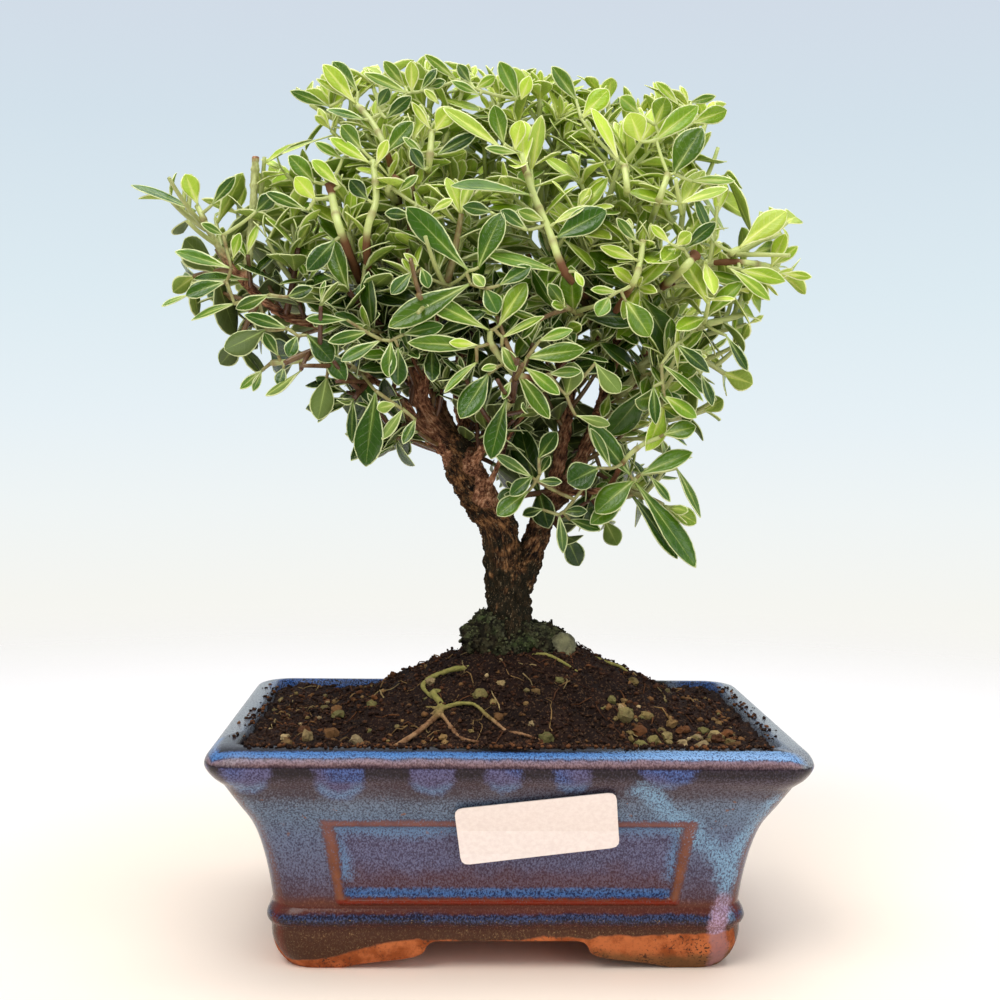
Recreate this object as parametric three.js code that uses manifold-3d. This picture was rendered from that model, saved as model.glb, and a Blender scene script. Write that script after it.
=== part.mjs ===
// Serissa bonsai: a forked tree with cream-edged leaves, in a glazed rectangular pot on bracket feet.
// Millimetres, +Z up, feet on Z = 0. Everything is laid out round the middle of the pot, and the whole
// group is moved at the end, so that its origin lies under the middle of its own box.
import * as THREE from 'three';
import { mergeVertices } from 'three/addons/utils/BufferGeometryUtils.js';
import Module from 'manifold-3d';

const wasm = await Module();
wasm.setup();

// Clearances that keep neighbouring pieces apart.
const fitGap = 0.32;
const leafClearance = 0.4;
const tiny = 1e-4;
const farAway = 200;

// Pot: half lengths and heights of its profiles. Its half width is its half length less sideCut.
const potLength = 155;
const potWidth = 117;
const sideCut = (potLength - potWidth) / 2;
const rimTop = 61;
const floorTop = 15;
const underside = 8.3;
const outerCorner = 8.5;
const innerCorner = 5;
const cornerSteps = 3;
const footProfile = [[57, 0], [59.2, 3.4], [60.7, 8], [60.8, 11.4]];
const beadProfile = [[62.3, 12.4], [63, 14], [62.4, 15.8]];
const wallProfile = [[61.7, 17.2], [62.7, 24.5], [64.4, 32.5], [66.6, 39], [70.2, 45.2], [73.3, 50.6]];
const rimProfile = [
  [76, 53.4], [potLength / 2, 56.6], [76.2, 59.4], [72.4, 60.5], [66.8, rimTop], [65.4, 60.2],
];
const cavityProfile = [[54.6, floorTop], [57, 32], [60, 42], [64, 51]];
const drainHole = { x: 30, radius: 6, sides: 14 };
const footPocket = { half: 46, corner: 6 };
const curveSteps = 3;
// Openings between the feet: half span, and how far a foot's low curl runs in from there.
const frontArch = { halfSpan: 43, curl: 25 };
const endArch = { halfSpan: 28, curl: 17 };
// The curl from the ground up to the crown of the arch: share of the curl, and height.
const archCurl = [[0.84, 1.6], [0.38, 2.9], [0.16, 3.9], [0.14, 5.6], [0.11, underside], [0, underside]];
const panel = {
  low: 19.2, high: 40.6, lowHalf: 43.4, highHalf: 45.4, ridge: 1.7, proud: 0.8, sunk: 1.2, root: 2,
};

// Label: a bare sheet of paper card on the front wall, turned a little anticlockwise.
const label = {
  x: 7, z: 40, width: 41, height: 16.4, corner: 2.2, tilt: 7.3, standOff: 1.15, thickness: 0.55,
};

// Drain screens: squares of plastic mesh.
const screen = { size: 22, thickness: 1.2, pitch: 7, hole: 4.6 };

// Soil: a cone with a flat top under the tree, roughened by a few waves.
const mound = { x: 5, stretch: 1.22, top: 78.5, plateau: 16.5, slope: 0.46, low: 57.8 };
const soilGrid = { x: 13, y: 9, margin: 10 };
const pebbles = {
  count: 10, halfX: 56, halfY: 38, nearest: 0.72, furthest: 0.96, smallest: 1.7, largest: 3.5,
};

// Root clod round the trunk: centre and radii of each lump. The last one is a stone.
const clodLumps = [
  [-4.5, -2, 80.5, 7.8, 9, 9.2],
  [6.5, 0.5, 79.5, 11.5, 10, 7.4],
  [-1, 7, 79, 8, 7, 7.5],
  [16.4, -3, 78.6, 4.6, 5.2, 5.2],
];

// Woody limbs: the points that each runs through, with its radius at those points.
const limbs = {
  trunk: [[1, 1, 57, 4], [1, 0, 72, 7.4], [1, 0, 84, 6.4], [1, 0, 93, 6.1], [2, 0, 103, 6.4]],
  leftStem: [[0, 0, 94, 5.2], [-2, -2, 112, 5.3], [-7, -3, 121, 5.1], [-12, -4, 130, 5.2], [-16, -5, 139, 4]],
  rightStem: [[3, 0, 96, 4.8], [8, 2, 108, 3.7], [11, 4, 117, 3.2], [14, 5, 125, 2.6]],
  lowLeft: [
    [-15, -5, 134, 2.4], [-23, -7, 140, 1.6], [-29, -12, 148, 1.2],
    [-35, -18, 153, 1], [-51, -28, 162, 0.8],
  ],
  paleBark: [
    [-14, -5, 134, 4], [-24, -7, 148, 2.3], [-27, -12, 163, 2],
    [-29, -14, 177, 1.6], [-31, -12, 205, 1],
  ],
  middleLeft: [
    [-14, -3, 134, 3], [-22, 4, 155, 1.4], [-24, 8, 167, 1.2],
    [-23, 12, 190, 1.1], [-24, 10, 213, 0.9],
  ],
  darkBack: [
    [-11, -2, 130, 3.2], [-12, 8, 143, 2.2], [-14, 16, 156, 1.7],
    [-11, 24, 176, 1.3], [-6, 26, 212, 0.9],
  ],
  crossTwig: [[-7, -4, 121, 1.1], [-3, -8, 131, 0.8], [1, -10, 141, 0.7], [11, -13, 155, 0.6]],
  middleRight: [
    [13, 5, 121, 2.2], [18, 10, 146, 1.6], [19, 14, 162, 1.4],
    [15, 18, 180, 1.2], [10, 18, 206, 0.9],
  ],
  rightLeader: [
    [10, 4, 116, 2.8], [19, 8, 127, 2.2], [28, 10, 149, 1.9],
    [32, 10, 171, 1.5], [33, 6, 208, 1],
  ],
  innerFork: [[31, 10, 160, 1.5], [24, 2, 174, 1.2], [22, -4, 184, 1], [22, -8, 193, 0.8]],
  paleRight: [[27, 9, 147, 1.5], [34, 2, 154, 1.5], [40, -6, 162, 1.4], [53, -16, 171, 1.1]],
  highRight: [[32, 10, 168, 1.5], [34, 0, 176, 1.4], [45, -12, 183, 1.3], [60, -17, 190, 1]],
  leftRise: [[-27, -12, 162, 1.6], [-35, -10, 171, 1.4], [-41, -8, 180, 1.4], [-46, -8, 196, 1]],
  farLeft: [
    [-26, -10, 158, 1.7], [-44, -8, 168, 1.4], [-62, -10, 172, 1.3],
    [-75, -12, 183, 1.1], [-83, -14, 195, 0.9],
  ],
  backLeft: [[-14, 15, 153, 1.5], [-26, 26, 164, 1.2], [-40, 36, 176, 1.1], [-50, 42, 190, 0.9]],
  sideLeft: [[-24, 8, 165, 1.2], [-40, 14, 169, 1.1], [-56, 16, 172, 1], [-64, 14, 177, 0.9]],
  backRight: [[28, 10, 148, 1.6], [38, 20, 160, 1.2], [48, 30, 172, 1.1], [54, 36, 184, 0.9]],
  backMiddle: [[19, 14, 158, 1.4], [15, 30, 174, 1.2], [9, 40, 190, 1.1], [6, 46, 204, 0.9]],
  lowBackRight: [[23, 10, 136, 1.4], [36, 16, 142, 1.1], [48, 18, 145, 0.9]],
  highLeader: [[33, 8, 184, 1.2], [42, 4, 202, 1], [49, 0, 213, 0.8]],
  lowFront: [[14, 5, 123, 1.3], [23, -1, 124, 1], [32, -8, 125, 0.8]],
  frontFork: [[-10, -5, 131, 1.5], [-5, -16, 140, 1.1], [0, -27, 149, 0.8]],
  frontRise: [[-24, -8, 150, 1.5], [-22, -19, 165, 1.1], [-18, -26, 179, 0.8]],
};
const stubs = [
  [[-45, -8, 190, 1.4], [-47, -9, 199, 1.5], [-50, -10, 208, 1.4]],
  [[-73, -12, 180, 1.3], [-71, -12, 197, 1.5], [-70, -13, 215, 1.4]],
  [[44, -12, 182, 1.3], [51, -14, 191, 1.4]],
  [[-30, -13, 188, 1.2], [-34, -17, 200, 1.3]],
  [[32, 10, 170, 1.1], [37, 12, 190, 0.9]],
];

// Surface roots: x, y, height of the axis over the soil, radius.
const roots = [
  [
    [1, -2, -9, 2.4], [-9, -12, -5, 1.6], [-18, -20, -1, 1.2], [-20, -24, 0.5, 1], [-18, -30, 0.6, 1],
    [-26, -39, 0.6, 0.9], [-34, -44, -1.4, 0.7],
  ],
  [[-21, -30, -0.6, 0.7], [-17, -30, 0.7, 0.8], [-10, -31, 1.1, 0.7], [-5, -37, 0.8, 0.7], [1, -43, -1, 0.6]],
  [[-22, -26, -0.4, 0.6], [-19, -29, 0.4, 0.7], [-16, -35, 0.4, 0.7], [-11, -42, -1, 0.6]],
  [[-16, -36, -0.2, 0.6], [-12, -42, 0.3, 0.6], [-3, -44, -1, 0.5]],
  [[-2, -40, -0.3, 0.6], [5, -43, 0.5, 0.6], [13, -44, -1, 0.5]],
  [[0, -4, -6, 1.4], [-12, -15, 0.4, 0.9], [-20, -14, 0.9, 0.9], [-23, -18, 0.6, 0.8], [-20, -25, -0.4, 0.7]],
  [[3, -3, -6, 1], [9, -13, 0.2, 0.6], [16, -14, 0.5, 0.6], [23, -18, -1, 0.5]],
  [[4, 0, -7, 1.2], [22, -1, -2, 0.8], [29, -3, 1, 0.7], [34, -4, 1, 0.6], [37, -7, -1, 0.5]],
];

// Leafy shoots: limb, place along it (0 to 1), and the point where the tip of the shoot stands.
const shoots = [
  ['farLeft', 1, [-93, -14, 203]],
  ['farLeft', 0.84, [-69, -5, 205]],
  ['farLeft', 0.78, [-88, -5, 183]],
  ['farLeft', 0.62, [-76, 0, 165]],
  ['farLeft', 0.5, [-58, -17, 190]],
  ['lowLeft', 1, [-60, -31, 158]],
  ['lowLeft', 0.8, [-42, -27, 149]],
  ['lowLeft', 0.4, [-31, -16, 138]],
  ['leftRise', 1, [-56, -4, 208]],
  ['leftRise', 0.6, [-44, -22, 194]],
  ['paleBark', 1, [-50, -6, 231]],
  ['paleBark', 0.86, [-36, -17, 234]],
  ['paleBark', 0.7, [-27, -25, 217]],
  ['paleBark', 0.5, [-44, -24, 178]],
  ['middleLeft', 1, [-23, 6, 239]],
  ['middleLeft', 0.9, [-38, 16, 226]],
  ['darkBack', 1, [-3, 14, 237]],
  ['darkBack', 0.88, [-16, 36, 226]],
  ['middleRight', 1, [8, 2, 236]],
  ['middleRight', 0.92, [16, 24, 234]],
  ['rightLeader', 1, [28, 8, 237]],
  ['rightLeader', 0.95, [42, 10, 233]],
  ['highLeader', 1, [55, -1, 229]],
  ['highLeader', 0.8, [60, -6, 213]],
  ['innerFork', 1, [30, -14, 218]],
  ['innerFork', 0.35, [2, -30, 211]],
  ['innerFork', 0.3, [14, -29, 174]],
  ['highRight', 1, [75, -18, 199]],
  ['highRight', 0.85, [77, -9, 185]],
  ['highRight', 0.66, [46, -22, 203]],
  ['highRight', 0.45, [34, -22, 180]],
  ['paleRight', 1, [64, -16, 174]],
  ['paleRight', 0.8, [61, -5, 158]],
  ['paleRight', 0.5, [42, -18, 148]],
  ['lowFront', 1, [43, -14, 121]],
  ['lowFront', 0.5, [29, 3, 115]],
  ['rightStem', 0.7, [17, -6, 111]],
  ['rightStem', 0.95, [4, -9, 123]],
  ['crossTwig', 1, [15, -19, 161]],
  ['frontFork', 1, [1, -35, 160]],
  ['frontRise', 1, [-14, -30, 198]],
  ['frontRise', 0.75, [-25, -36, 176]],
  ['backLeft', 1, [-58, 46, 201]],
  ['backLeft', 0.7, [-46, 50, 180]],
  ['backLeft', 0.5, [-24, 44, 192]],
  ['sideLeft', 1, [-76, 18, 184]],
  ['backRight', 1, [60, 42, 195]],
  ['backRight', 0.6, [54, 42, 170]],
  ['backMiddle', 1, [2, 52, 216]],
  ['backMiddle', 0.7, [22, 52, 200]],
  ['lowBackRight', 1, [60, 20, 148]],
  ['backRight', 0.85, [44, 36, 212]],
];

// Leaves: opposite pairs, each turned a quarter against the last, largest low on the shoot.
const leaf = {
  first: 0.4, last: 0.98, longStem: 19,
  lowLength: 23, highLength: 17, slimmest: 0.165, fullest: 0.215,
  lowLean: 72, highLean: 40, skyward: 0.3, thickness: 0.95, sunk: 0.7,
};
const largeStations = [[0, 0], [0.28, 0.8], [0.58, 1], [0.84, 0.64], [1, 0]];
const smallStations = [[0, 0], [0.38, 0.96], [0.76, 0.78], [1, 0]];
const largeLeaf = 19;
const stemRadius = { low: 1, high: 0.75, sides: 4, steps: 2 };
const stemKnee = { out: 0.6, rise: 0.42 };
const youngFrom = 195;
const mostPairs = 3;
// Ways to bend a leaf clear of its neighbours: turn and lean in degrees, and share of its length.
const bends = [
  [0, 0, 1], [16, 8, 1], [-16, 8, 1], [0, -16, 1],
  [32, -6, 0.92], [-32, -6, 0.92], [12, 24, 0.85], [-12, -24, 0.8],
];

const finishes = {
  glaze: { color: 0x35557f, roughness: 0.25 },
  plastic: { color: 0x20231f, roughness: 0.7 },
  soil: { color: 0x33241b, roughness: 0.95 },
  moss: { color: 0x4b5540, roughness: 0.95 },
  bark: { color: 0x6a4a33, roughness: 0.85 },
  paper: { color: 0xf2efec, roughness: 0.6 },
  youngLeaf: { color: 0x9cb84a, roughness: 0.45 },
  oldLeaf: { color: 0x4f7a33, roughness: 0.4 },
};

const radians = THREE.MathUtils.degToRad;
const mix = THREE.MathUtils.lerp;
const up = new THREE.Vector3(0, 0, 1);

// ---- Geometry helpers ----

function weld(geometry) {
  const bare = geometry.clone();
  bare.deleteAttribute('normal');
  bare.deleteAttribute('uv');
  return mergeVertices(bare);
}

function reshape(geometry, place) {
  const position = geometry.attributes.position;
  const vertex = new THREE.Vector3();
  for (let i = 0; i < position.count; i += 1) {
    const moved = place(vertex.fromBufferAttribute(position, i));
    position.setXYZ(i, moved.x, moved.y, moved.z);
  }
  return geometry;
}

function solidOf(geometry) {
  const welded = weld(geometry);
  const corners = welded.index.array;
  const kept = [];
  for (let i = 0; i < corners.length; i += 3) {
    const [a, b, c] = corners.slice(i, i + 3);
    if (a !== b && b !== c && c !== a) kept.push(a, b, c);
  }
  const vertProperties = Float32Array.from(welded.attributes.position.array);
  return new wasm.Manifold(new wasm.Mesh({ numProp: 3, vertProperties, triVerts: Uint32Array.from(kept) }));
}

function joined(solids) {
  return solids.reduce((whole, piece) => whole.add(piece));
}

function largestBody(solid) {
  const bodies = solid.decompose();
  return bodies.reduce((best, body) => (body.volume() > best.volume() ? body : best));
}

function meshOf(name, solid, finish) {
  const { vertProperties, triVerts } = solid.getMesh();
  const geometry = new THREE.BufferGeometry();
  geometry.setAttribute('position', new THREE.BufferAttribute(vertProperties, 3));
  geometry.setIndex(new THREE.BufferAttribute(triVerts, 1));
  geometry.computeVertexNormals();
  const mesh = new THREE.Mesh(geometry, new THREE.MeshStandardMaterial({ metalness: 0, ...finish }));
  mesh.name = name;
  return mesh;
}

// A number from 0 to 1 that depends only on the three whole numbers given.
function chance(group, item, draw) {
  const seed = Math.imul(group + 1, 374761393)
    + Math.imul(item + 1, 668265263)
    + Math.imul(draw + 1, 974634777);
  const hash = Math.imul(seed ^ (seed >>> 13), 1274126177);
  return ((hash ^ (hash >>> 16)) >>> 0) / 4294967296;
}

// A round tube with closed ends along a curve, its radius given at each share of the way.
function tube(curve, radiusAt, sides, steps, grow = 0) {
  const round = weld(new THREE.CylinderGeometry(1, 1, 1, sides, steps));
  const frames = curve.computeFrenetFrames(steps, false);
  return solidOf(reshape(round, (vertex) => {
    const step = Math.round((vertex.y + 0.5) * steps);
    const radius = radiusAt(step / steps) + grow;
    const stretch = grow * ((step === steps ? 1 : 0) - (step === 0 ? 1 : 0));
    return curve.getPointAt(step / steps)
      .addScaledVector(frames.tangents[step], stretch)
      .addScaledVector(frames.binormals[step], vertex.x * radius)
      .addScaledVector(frames.normals[step], vertex.z * radius);
  }));
}

function curveThrough(points) {
  const places = points.map(([x, y, z]) => new THREE.Vector3(x, y, z));
  return new THREE.CatmullRomCurve3(places, false, 'catmullrom', 0.5);
}

// Radius read between the stated ones, which are spread evenly along the limb.
function radiusBetween(points) {
  return (share) => {
    const place = share * (points.length - 1);
    const below = Math.min(Math.floor(place), points.length - 2);
    return mix(points[below][3], points[below + 1][3], place - below);
  };
}

// ---- Pot ----

// A solid of rounded rectangles stacked along a profile of half lengths and heights.
function roundedLoft(profile, corner, grow = 0) {
  const perCorner = cornerSteps + 1;
  const sides = 4 * perCorner;
  const lathe = new THREE.LatheGeometry(profile.map(([half, z]) => new THREE.Vector2(half, z)), sides);
  return solidOf(reshape(weld(lathe), ({ x, y, z }) => {
    const half = Math.hypot(x, z);
    if (half < tiny) return new THREE.Vector3(0, 0, y);
    const side = Math.round((sides * Math.atan2(x, z)) / (2 * Math.PI) + sides) % sides;
    const quarter = Math.floor(side / perCorner);
    const angle = ((quarter - 1 + (side % perCorner) / cornerSteps) * Math.PI) / 2;
    const towardX = quarter < 2 ? 1 : -1;
    const towardY = quarter === 1 || quarter === 2 ? 1 : -1;
    return new THREE.Vector3(
      towardX * (half - corner) + (corner + grow) * Math.cos(angle),
      towardY * (half - sideCut - corner) + (corner + grow) * Math.sin(angle),
      y,
    );
  }));
}

function closedProfile(profile) {
  return [[0, profile[0][1]], ...profile, [0, profile[profile.length - 1][1]]];
}

function plainExtrude(shape, depth) {
  return new THREE.ExtrudeGeometry(shape, { depth, bevelEnabled: false, curveSegments: curveSteps });
}

// An outline drawn in X and Z, run right through the pot along Y, or along X when turned.
function throughPrism(shape, turned) {
  const prism = plainExtrude(shape, farAway);
  prism.rotateX(Math.PI / 2).translate(0, farAway / 2, 0);
  if (turned) prism.rotateZ(Math.PI / 2);
  return solidOf(prism);
}

// The opening between two feet: a flat crown, a small cusp, and a long low curl to the ground.
function footArch({ halfSpan, curl }) {
  const crown = halfSpan - curl;
  const below = -2;
  const rising = [[halfSpan, 0], ...archCurl.map(([share, z]) => [crown + share * curl, z])];
  const falling = rising.map(([x, z]) => [-x, z]).reverse();
  const arch = new THREE.Shape();
  arch.moveTo(halfSpan, below);
  for (const side of [rising, falling]) {
    arch.lineTo(...side[0]);
    for (let i = 1; i < side.length; i += 2) arch.quadraticCurveTo(...side[i], ...side[i + 1]);
  }
  arch.lineTo(-halfSpan, below);
  return arch;
}

function panelShape(narrower, inset) {
  const shape = new THREE.Shape();
  const lowHalf = panel.lowHalf - narrower - inset;
  const highHalf = panel.highHalf - narrower - inset;
  shape.moveTo(-lowHalf, panel.low + inset);
  shape.lineTo(lowHalf, panel.low + inset);
  shape.lineTo(highHalf, panel.high - inset);
  shape.lineTo(-highHalf, panel.high - inset);
  return shape;
}

function wallBlock(grow) {
  return roundedLoft(closedProfile(wallProfile), outerCorner, grow);
}

function makePot() {
  const outside = [...footProfile, ...beadProfile, ...wallProfile, ...rimProfile];
  const hollow = [...cavityProfile, rimProfile.at(-1), rimProfile.at(-2), [rimProfile.at(-2)[0], farAway]];
  const pocket = [[footPocket.half, -farAway], [footPocket.half, underside]];
  let body = roundedLoft(closedProfile(outside), outerCorner)
    .subtract(roundedLoft(closedProfile(hollow), innerCorner))
    .subtract(roundedLoft(closedProfile(pocket), footPocket.corner))
    .subtract(throughPrism(footArch(frontArch), false))
    .subtract(throughPrism(footArch(endArch), true));
  for (const side of [-1, 1]) {
    const { radius, sides } = drainHole;
    const hole = new THREE.CylinderGeometry(radius, radius, 2 * floorTop, sides);
    hole.rotateX(Math.PI / 2).translate(side * drainHole.x, 0, floorTop);
    body = body.subtract(solidOf(hole));
  }
  for (const turned of [false, true]) {
    const narrower = turned ? sideCut : 0;
    const field = throughPrism(panelShape(narrower, panel.ridge), turned);
    const ridge = throughPrism(panelShape(narrower, 0), turned).subtract(field);
    body = body.add(ridge.intersect(wallBlock(panel.proud)).subtract(wallBlock(-panel.root)));
    body = body.subtract(field.subtract(wallBlock(-panel.sunk)));
  }
  return body;
}

function makeLabel() {
  const { width, height, corner } = label;
  const sheet = new THREE.Shape();
  sheet.moveTo(-width / 2 + corner, -height / 2);
  sheet.lineTo(width / 2 - corner, -height / 2);
  sheet.quadraticCurveTo(width / 2, -height / 2, width / 2, -height / 2 + corner);
  sheet.lineTo(width / 2, height / 2 - corner);
  sheet.quadraticCurveTo(width / 2, height / 2, width / 2 - corner, height / 2);
  sheet.lineTo(-width / 2 + corner, height / 2);
  sheet.quadraticCurveTo(-width / 2, height / 2, -width / 2, height / 2 - corner);
  sheet.lineTo(-width / 2, -height / 2 + corner);
  sheet.quadraticCurveTo(-width / 2, -height / 2, -width / 2 + corner, -height / 2);
  const block = plainExtrude(sheet, potWidth / 2);
  block.rotateZ(radians(label.tilt)).rotateX(Math.PI / 2).translate(label.x, -potWidth / 4, label.z);
  return solidOf(block)
    .intersect(wallBlock(label.standOff + label.thickness))
    .subtract(wallBlock(label.standOff));
}

function makeScreen(x) {
  const middle = floorTop + fitGap + screen.thickness / 2;
  const plate = new THREE.BoxGeometry(screen.size, screen.size, screen.thickness).translate(x, 0, middle);
  const cells = [];
  for (let column = -1; column <= 1; column += 1) {
    for (let row = -1; row <= 1; row += 1) {
      const cell = new THREE.BoxGeometry(screen.hole, screen.hole, 2 * screen.thickness);
      cells.push(solidOf(cell.translate(x + column * screen.pitch, row * screen.pitch, middle)));
    }
  }
  return solidOf(plate).subtract(joined(cells));
}

function makeScreenRoom(x) {
  const size = screen.size + 2 * fitGap;
  const top = floorTop + screen.thickness + 2 * fitGap;
  return solidOf(new THREE.BoxGeometry(size, size, top).translate(x, 0, top / 2));
}

// ---- Soil, clod and wood ----

function soilHeight(x, y) {
  const reach = Math.hypot(x - mound.x, y * mound.stretch);
  const cone = mound.top - mound.slope * Math.max(0, reach - mound.plateau);
  const waves = 0.6 * Math.sin(0.31 * x + 1.3) * Math.cos(0.27 * y) + 0.45 * Math.sin(0.83 * x + 0.57 * y);
  return Math.max(mound.low, cone) + waves;
}

function makeMound() {
  const length = potLength - 2 * soilGrid.margin;
  const width = potWidth - 2 * soilGrid.margin;
  const block = new THREE.BoxGeometry(length, width, rimTop, soilGrid.x, soilGrid.y, 1);
  const ground = reshape(weld(block), ({ x, y, z }) => (
    new THREE.Vector3(x, y, z > 0 ? soilHeight(x, y) : 0)
  ));
  const room = [...cavityProfile, rimProfile.at(-1), [rimProfile.at(-1)[0], farAway]];
  room[0] = [room[0][0], floorTop + fitGap];
  return solidOf(ground).intersect(roundedLoft(closedProfile(room), innerCorner, -fitGap));
}

function makePebbles() {
  const stones = [];
  for (let index = 0; index < pebbles.count; index += 1) {
    const around = 2 * Math.PI * (index / pebbles.count) + 0.5 * chance(index, 0, 90);
    const spread = mix(pebbles.nearest, pebbles.furthest, chance(index, 1, 90));
    const x = pebbles.halfX * spread * Math.cos(around);
    const y = pebbles.halfY * spread * Math.sin(around);
    const radius = mix(pebbles.smallest, pebbles.largest, chance(index, 2, 90));
    const stone = new THREE.IcosahedronGeometry(radius, 0).rotateZ(index).scale(1.15, 1, 0.85);
    stones.push(solidOf(stone.translate(x, y, soilHeight(x, y) + 0.15 * radius)));
  }
  return joined(stones);
}

function makeClod(grow = 0) {
  return joined(clodLumps.map(([cx, cy, cz, rx, ry, rz], index) => {
    const ball = weld(new THREE.SphereGeometry(1, 8, 4));
    return solidOf(reshape(ball, ({ x, y, z }) => {
      const bump = 1 + 0.1 * Math.sin(5 * x + 3 * y + index) * Math.cos(4 * z + 2 * x);
      return new THREE.Vector3(
        cx + x * (rx * bump + grow),
        cy + y * (ry * bump + grow),
        cz + z * (rz * bump + grow),
      );
    }));
  }));
}

function makeWood(grow = 0) {
  const pieces = Object.values(limbs).map((points) => {
    const stoutness = Math.min(1, (points[0][3] - 1) / 3);
    const sides = Math.round(mix(4, 8, stoutness));
    return tube(curveThrough(points), radiusBetween(points), sides, Math.round(mix(3, 5, stoutness)), grow);
  });
  for (const points of stubs) pieces.push(tube(curveThrough(points), radiusBetween(points), 5, 1, grow));
  for (const points of roots) {
    const laid = points.map(([x, y, lift, radius]) => [x, y, soilHeight(x, y) + lift, radius]);
    pieces.push(tube(curveThrough(laid), radiusBetween(laid), 3, laid.length - 1, grow));
  }
  return joined(pieces);
}

// ---- Leafy shoots ----

// The green stem leaves its limb outwards and bends up to its tip.
function stemCurve([limbName, place, tip]) {
  const start = curveThrough(limbs[limbName]).getPoint(place);
  const end = new THREE.Vector3(...tip);
  const knee = start.clone().lerp(end, stemKnee.out);
  knee.z = mix(start.z, end.z, stemKnee.rise);
  return new THREE.QuadraticBezierCurve3(start, knee, end);
}

function pairCount(curve) {
  return curve.v0.distanceTo(curve.v2) > leaf.longStem ? 3 : 2;
}

// Where one leaf grows, which way it points and faces, and how large it is.
function leafPlan(curve, shoot, index, [turn, lean, shrink]) {
  const pair = Math.floor(index / 2);
  const share = pair / (pairCount(curve) - 1);
  const place = mix(leaf.first, leaf.last, share);
  const stemWay = curve.getTangent(place);
  const level = new THREE.Vector3().crossVectors(stemWay, up).normalize();
  const rise = new THREE.Vector3().crossVectors(level, stemWay);
  const quarter = 360 * chance(shoot, 0, 1) + 90 * pair + 180 * (index % 2);
  const around = radians(quarter + 40 * (chance(shoot, index, 2) - 0.5) + turn);
  const outward = level.clone().multiplyScalar(Math.cos(around)).addScaledVector(rise, Math.sin(around));
  const usualLean = mix(leaf.lowLean, leaf.highLean, share);
  const tilt = radians(usualLean + 20 * (chance(shoot, index, 3) - 0.5) + lean);
  const along = stemWay.clone().multiplyScalar(Math.cos(tilt)).addScaledVector(outward, Math.sin(tilt));
  const face = stemWay.clone().multiplyScalar(Math.sin(tilt)).addScaledVector(outward, -Math.cos(tilt));
  face.addScaledVector(up, leaf.skyward).addScaledVector(along, -leaf.skyward * along.z).normalize();
  const usualLength = mix(leaf.lowLength, leaf.highLength, share) * shrink;
  const length = usualLength * mix(0.84, 1.14, chance(shoot, index, 4));
  return {
    root: curve.getPoint(place).addScaledVector(along, -leaf.sunk),
    along,
    face,
    length,
    half: length * mix(leaf.slimmest, leaf.fullest, chance(shoot, index, 5)),
    arch: mix(0.02, 0.2, chance(shoot, index, 6)),
  };
}

// A thin three-sided blade: flat above, with a keel below, arched towards its tip.
function blade(plan, grow = 0) {
  const stations = plan.length > largeLeaf ? largeStations : smallStations;
  const steps = stations.length - 1;
  const across = new THREE.Vector3().crossVectors(plan.face, plan.along);
  const spindle = weld(new THREE.SphereGeometry(1, 3, steps));
  return solidOf(reshape(spindle, ({ y, z }) => {
    const [share, fullness] = stations[Math.round(steps * (1 - Math.acos(y) / Math.PI))];
    const isEnd = fullness === 0;
    const sideways = isEnd ? 0 : Math.sign(Math.round(z * 10));
    const keel = isEnd || sideways !== 0 ? 0 : leaf.thickness + grow;
    const reach = share * plan.length + (share === 1 ? grow : 0);
    const drop = plan.arch * plan.length * share * share;
    return plan.root.clone()
      .addScaledVector(plan.along, reach)
      .addScaledVector(across, sideways * (fullness * plan.half + grow))
      .addScaledVector(plan.face, (isEnd ? 0 : grow) - keel - drop);
  }));
}

function boxesMeet(a, b) {
  return [0, 1, 2].every((axis) => a.min[axis] < b.max[axis] && b.min[axis] < a.max[axis]);
}

function crosses(guard, obstacles, shoot) {
  const box = guard.boundingBox();
  return obstacles.some((other) => (
    other.shoot !== shoot && boxesMeet(box, other.box) && !guard.intersect(other.solid).isEmpty()
  ));
}

function makeShoots(wood, clearWood, others) {
  const curves = shoots.map(stemCurve);
  const stemAt = (share) => mix(stemRadius.low, stemRadius.high, share);
  const stems = curves.map((curve) => tube(curve, stemAt, stemRadius.sides, stemRadius.steps));
  const obstacles = [wood, ...others].map((solid) => ({ solid, box: solid.boundingBox(), shoot: -1 }));
  stems.forEach((solid, shoot) => obstacles.push({ solid, box: solid.boundingBox(), shoot }));
  const grown = stems.map((stem) => [stem]);
  for (let index = 0; index < 2 * mostPairs; index += 1) {
    curves.forEach((curve, shoot) => {
      if (index >= 2 * pairCount(curve)) return;
      for (const bend of bends) {
        const plan = leafPlan(curve, shoot, index, bend);
        if (crosses(blade(plan, leafClearance), obstacles, shoot)) continue;
        const solid = blade(plan);
        obstacles.push({ solid, box: solid.boundingBox(), shoot });
        grown[shoot].push(solid);
        break;
      }
    });
  }
  return grown.map((pieces) => largestBody(joined(pieces).subtract(clearWood)));
}

// ---- Assembly ----

const wood = makeWood();
const clearWood = makeWood(fitGap);
const potBody = makePot();
const clod = largestBody(makeClod().subtract(clearWood));
const screens = [-1, 1].map((side) => makeScreen(side * drainHole.x));
const screenRoom = [-1, 1].map((side) => makeScreenRoom(side * drainHole.x));
const soil = largestBody(
  makeMound().add(makePebbles()).subtract(makeClod(fitGap)).subtract(clearWood).subtract(joined(screenRoom)),
);

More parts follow.
